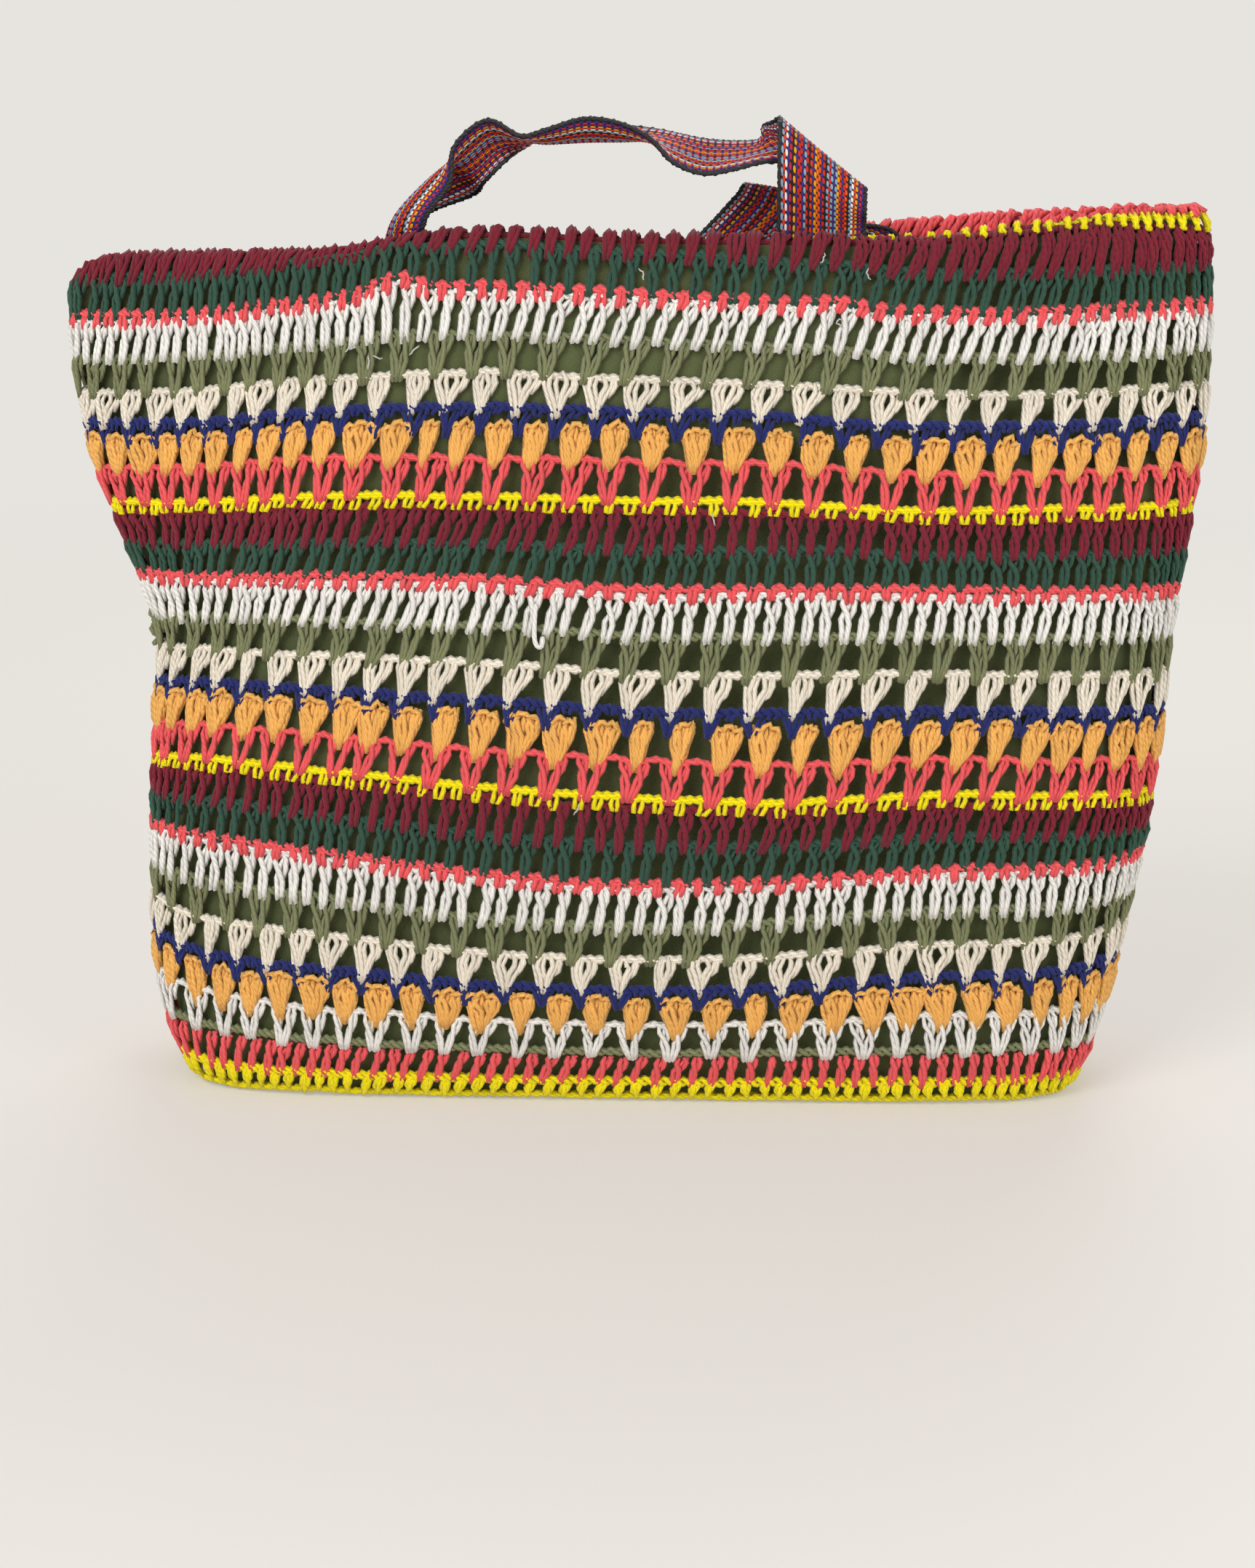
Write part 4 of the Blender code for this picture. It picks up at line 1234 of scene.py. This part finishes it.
# Each sewn end's x, and how far below the rim and how far out its stations lie
FRONT_ENDS = (-100, ((77, FLAT), (65, FLAT), (54, FLAT), (43, OVER_FACING)),
              81, ((13, OVER_FACING), (30, OVER_FACING), (43, FLAT), (54, FLAT), (67, FLAT)))
BACK_ENDS = (-100, ((75, FLAT), (60, FLAT), (47, OVER_FACING)),
             105, ((21, OVER_FACING), (34, OVER_FACING), (47, FLAT), (67, FLAT)))

# Warp threads across the webbing, from the edge nearer the middle of the bag
WARP = "vmvyrwlkoeprylvlelkevoqyvrdelveevydmvwrl"
DYES = {
    "v": "3a2e86", "m": "c22742", "y": "eaa414", "r": "dd3a1c", "w": "eceae6", "l": "8ea8c2",
    "k": "221f20", "o": "ee5510", "e": "d2281f", "p": "443380", "q": "f0660f", "d": "301d16",
}
# A bead is a warp thread's turn over the weft
BEAD = 3.2
BEAD_RAISED = 0.28
BEAD_LOWERED = 0.12
SELVEDGE = 1.3
SELVEDGE_LOWERED = 0.3
END_GAP = 1.2
FRONT_WALL = (0.02, 0.48)
BACK_WALL = (0.98, 0.52)
WALL_POINTS = 600
# A place outside every bead, for the strap's edge
NO_BEAD = 2.0
# Steps along and across a strap that tell which way it faces
STEP_ALONG = 1.0
STEP_ACROSS = 0.05
CURVE_SAMPLES = 16
# The twisted cords along a handle's edges
EDGE_RADIUS = 0.82
EDGE_STEP = 1.5
EDGE_END = 0.8
EDGE_TWIST = 4.6
EDGE_INSET = 1.1
EDGE_ACROSS = 0.028
EDGE_OUT = 0.55
NEAR_EDGE = 0.95


def on_wall(x, z, front):
    """Place around the bag of an x on the front or the back wall, at height z."""
    u = np.linspace(*(FRONT_WALL if front else BACK_WALL), WALL_POINTS)
    return np.interp(x, look(PLAN, u, np.full(WALL_POINTS, z))[:, 0], u)


def sewn(x, below, front, off):
    z = RIM - below
    reach = (STRAP_WIDTH / 2, 0, -STRAP_WIDTH / 2)
    return [wall(on_wall(x + dx, z, front), z, off) + [CENTRE, 0, 0] for dx in reach]


def stations(free, ends, front):
    """The strap's right edge, middle and left edge at each station, as in the solid."""
    left, one_end, right, other_end = ends
    side = wall(on_wall(0, RIM, front), RIM, OVER_FACING)[1]
    rows = [sewn(left, below, front, off) for below, off in one_end]
    for middle, one, other in free:
        at = np.array([middle[0], middle[1] + side, middle[2] + RIM], float)
        rows.append([at + one, at, at + other])
    rows += [sewn(right, below, front, off) for below, off in other_end]
    return np.array(rows) - [CENTRE, 0, 0]


class Ribbon:
    """A strap's surface: v millimetres along it, c from -1 at its left edge to 1 at its right."""

    def __init__(self, rows):
        lines = through(rows.transpose(1, 0, 2), (len(rows) - 1) * CURVE_SAMPLES + 1)
        step = np.linalg.norm(np.diff(lines[1], axis=0), axis=-1)
        self.run = np.concatenate([[0], np.cumsum(step)])
        self.lines = lines
        self.length = self.run[-1]

    def flat(self, v, c):
        one, mid, two = [np.stack([np.interp(v, self.run, line[:, k]) for k in range(3)], -1)
                         for line in self.lines]
        c = np.asarray(c)[..., None]
        return mid + c * (one - two) / 2 + c * c * ((one + two) / 2 - mid)

    def at(self, v, c, off):
        along = self.flat(v + STEP_ALONG, c) - self.flat(v - STEP_ALONG, c)
        across = self.flat(v, c + STEP_ACROSS) - self.flat(v, c - STEP_ACROSS)
        return self.flat(v, c) + unit(np.cross(along, across)) * np.asarray(off)[..., None]


def make_handle(name, node, rows):
    ribbon = Ribbon(rows)
    columns = len(WARP) + 2
    bits = int(round(ribbon.length / BEAD * 2))
    j = np.arange(columns)
    i = np.arange(bits + 1)
    inner = 1 - SELVEDGE / (STRAP_WIDTH / 2)
    c = np.linspace(inner, -inner, columns)[None] * np.ones((bits + 1, 1))
    v = i / bits * (ribbon.length - 2 * END_GAP) + END_GAP
    v = v[:, None] * np.ones((1, columns))
    raised = (i[:, None] + j[None]) % 2 == 0
    high = np.where(raised, STRAP / 2 + BEAD_RAISED, STRAP / 2 - BEAD_LOWERED)
    high[:, [0, -1]] = STRAP / 2 - SELVEDGE_LOWERED
    verts = np.concatenate([ribbon.at(v, c, high).reshape(-1, 3),
                            ribbon.at(v, c, -high).reshape(-1, 3)])
    grid = np.arange(raised.size).reshape(raised.shape)
    p, q, r, t = grid[:-1, :-1], grid[:-1, 1:], grid[1:, 1:], grid[1:, :-1]
    tris = np.where(raised[:-1, :-1], (p, q, t, r, t, q), (q, r, p, t, p, r))
    tris = tris.transpose(1, 2, 0).reshape(-1, 3)
    # A triangle's first corner is the raised one; the others tell where in its bead they lie
    peak = tris[:, 0]
    offset = np.stack([tris % columns - (peak % columns)[:, None],
                       tris // columns - (peak // columns)[:, None]], -1)
    dyes = np.array([linear(DYES[w]) for w in "k" + WARP + "k"])
    both = np.concatenate([tris, tris[:, ::-1] + grid.size])
    uv = np.concatenate([offset, offset[:, ::-1]]).astype(float)
    dye = np.tile(dyes[peak % columns], (2, 1))
    p = np.concatenate([grid[:, 0], grid[-1, 1:], grid[-2::-1, -1], grid[0, -2:0:-1]])
    q = np.roll(p, -1)
    quads = np.stack([p, q, q + grid.size, p + grid.size], -1).tolist()
    uvs = np.concatenate([uv.reshape(-1, 2), np.full((len(quads) * 4, 2), NO_BEAD)])
    mesh = sheet_mesh(name, verts, both.tolist() + quads, uvs, "webbing")
    colour = mesh.color_attributes.new("dye", "FLOAT_COLOR", "CORNER")
    corner = np.concatenate([np.repeat(dye, 3, 0), np.tile(dyes[0], (len(quads) * 4, 1))])
    corner = np.concatenate([corner, np.ones((len(corner), 1))], 1)
    colour.data.foreach_set("color", corner.ravel().astype(np.float32))
    dress(name, mesh, "webbing", node)
    make_edges(name + "_edges", ribbon)


def make_edges(name, ribbon):
    """Two twisted cords along each edge of a handle."""
    steps = int(ribbon.length / EDGE_STEP)
    along = np.linspace(EDGE_END, ribbon.length - EDGE_END, steps)
    turn = along / EDGE_TWIST * 2 * math.pi
    skein = Skein("selvedge", EDGE_RADIUS)
    for c in (-1, 1):
        near_edge = np.full(steps, c * NEAR_EDGE)
        outward = ribbon.at(along, near_edge, np.ones(steps)) - ribbon.flat(along, near_edge)
        for k in (0, math.pi):
            place = c * (1 - EDGE_INSET / (STRAP_WIDTH / 2) + EDGE_ACROSS * np.cos(turn + k))
            pts = ribbon.at(along, place, EDGE_OUT * np.sin(turn + k))
            skein.tube(pts[None], outward[None])
    skein.piece(name, slot="webbing")


def make_handles():
    make_handle("webbing_front", "handle_front", stations(FRONT_FREE, FRONT_ENDS, True))
    make_handle("webbing_back", "handle_back", stations(BACK_FREE, BACK_ENDS, False))


make_camera()
make_light()
make_floor()
make_rows()
make_loose_bits()
make_canvas()
make_base()
make_handles()

bpy.context.scene.view_settings.view_transform = "Standard"
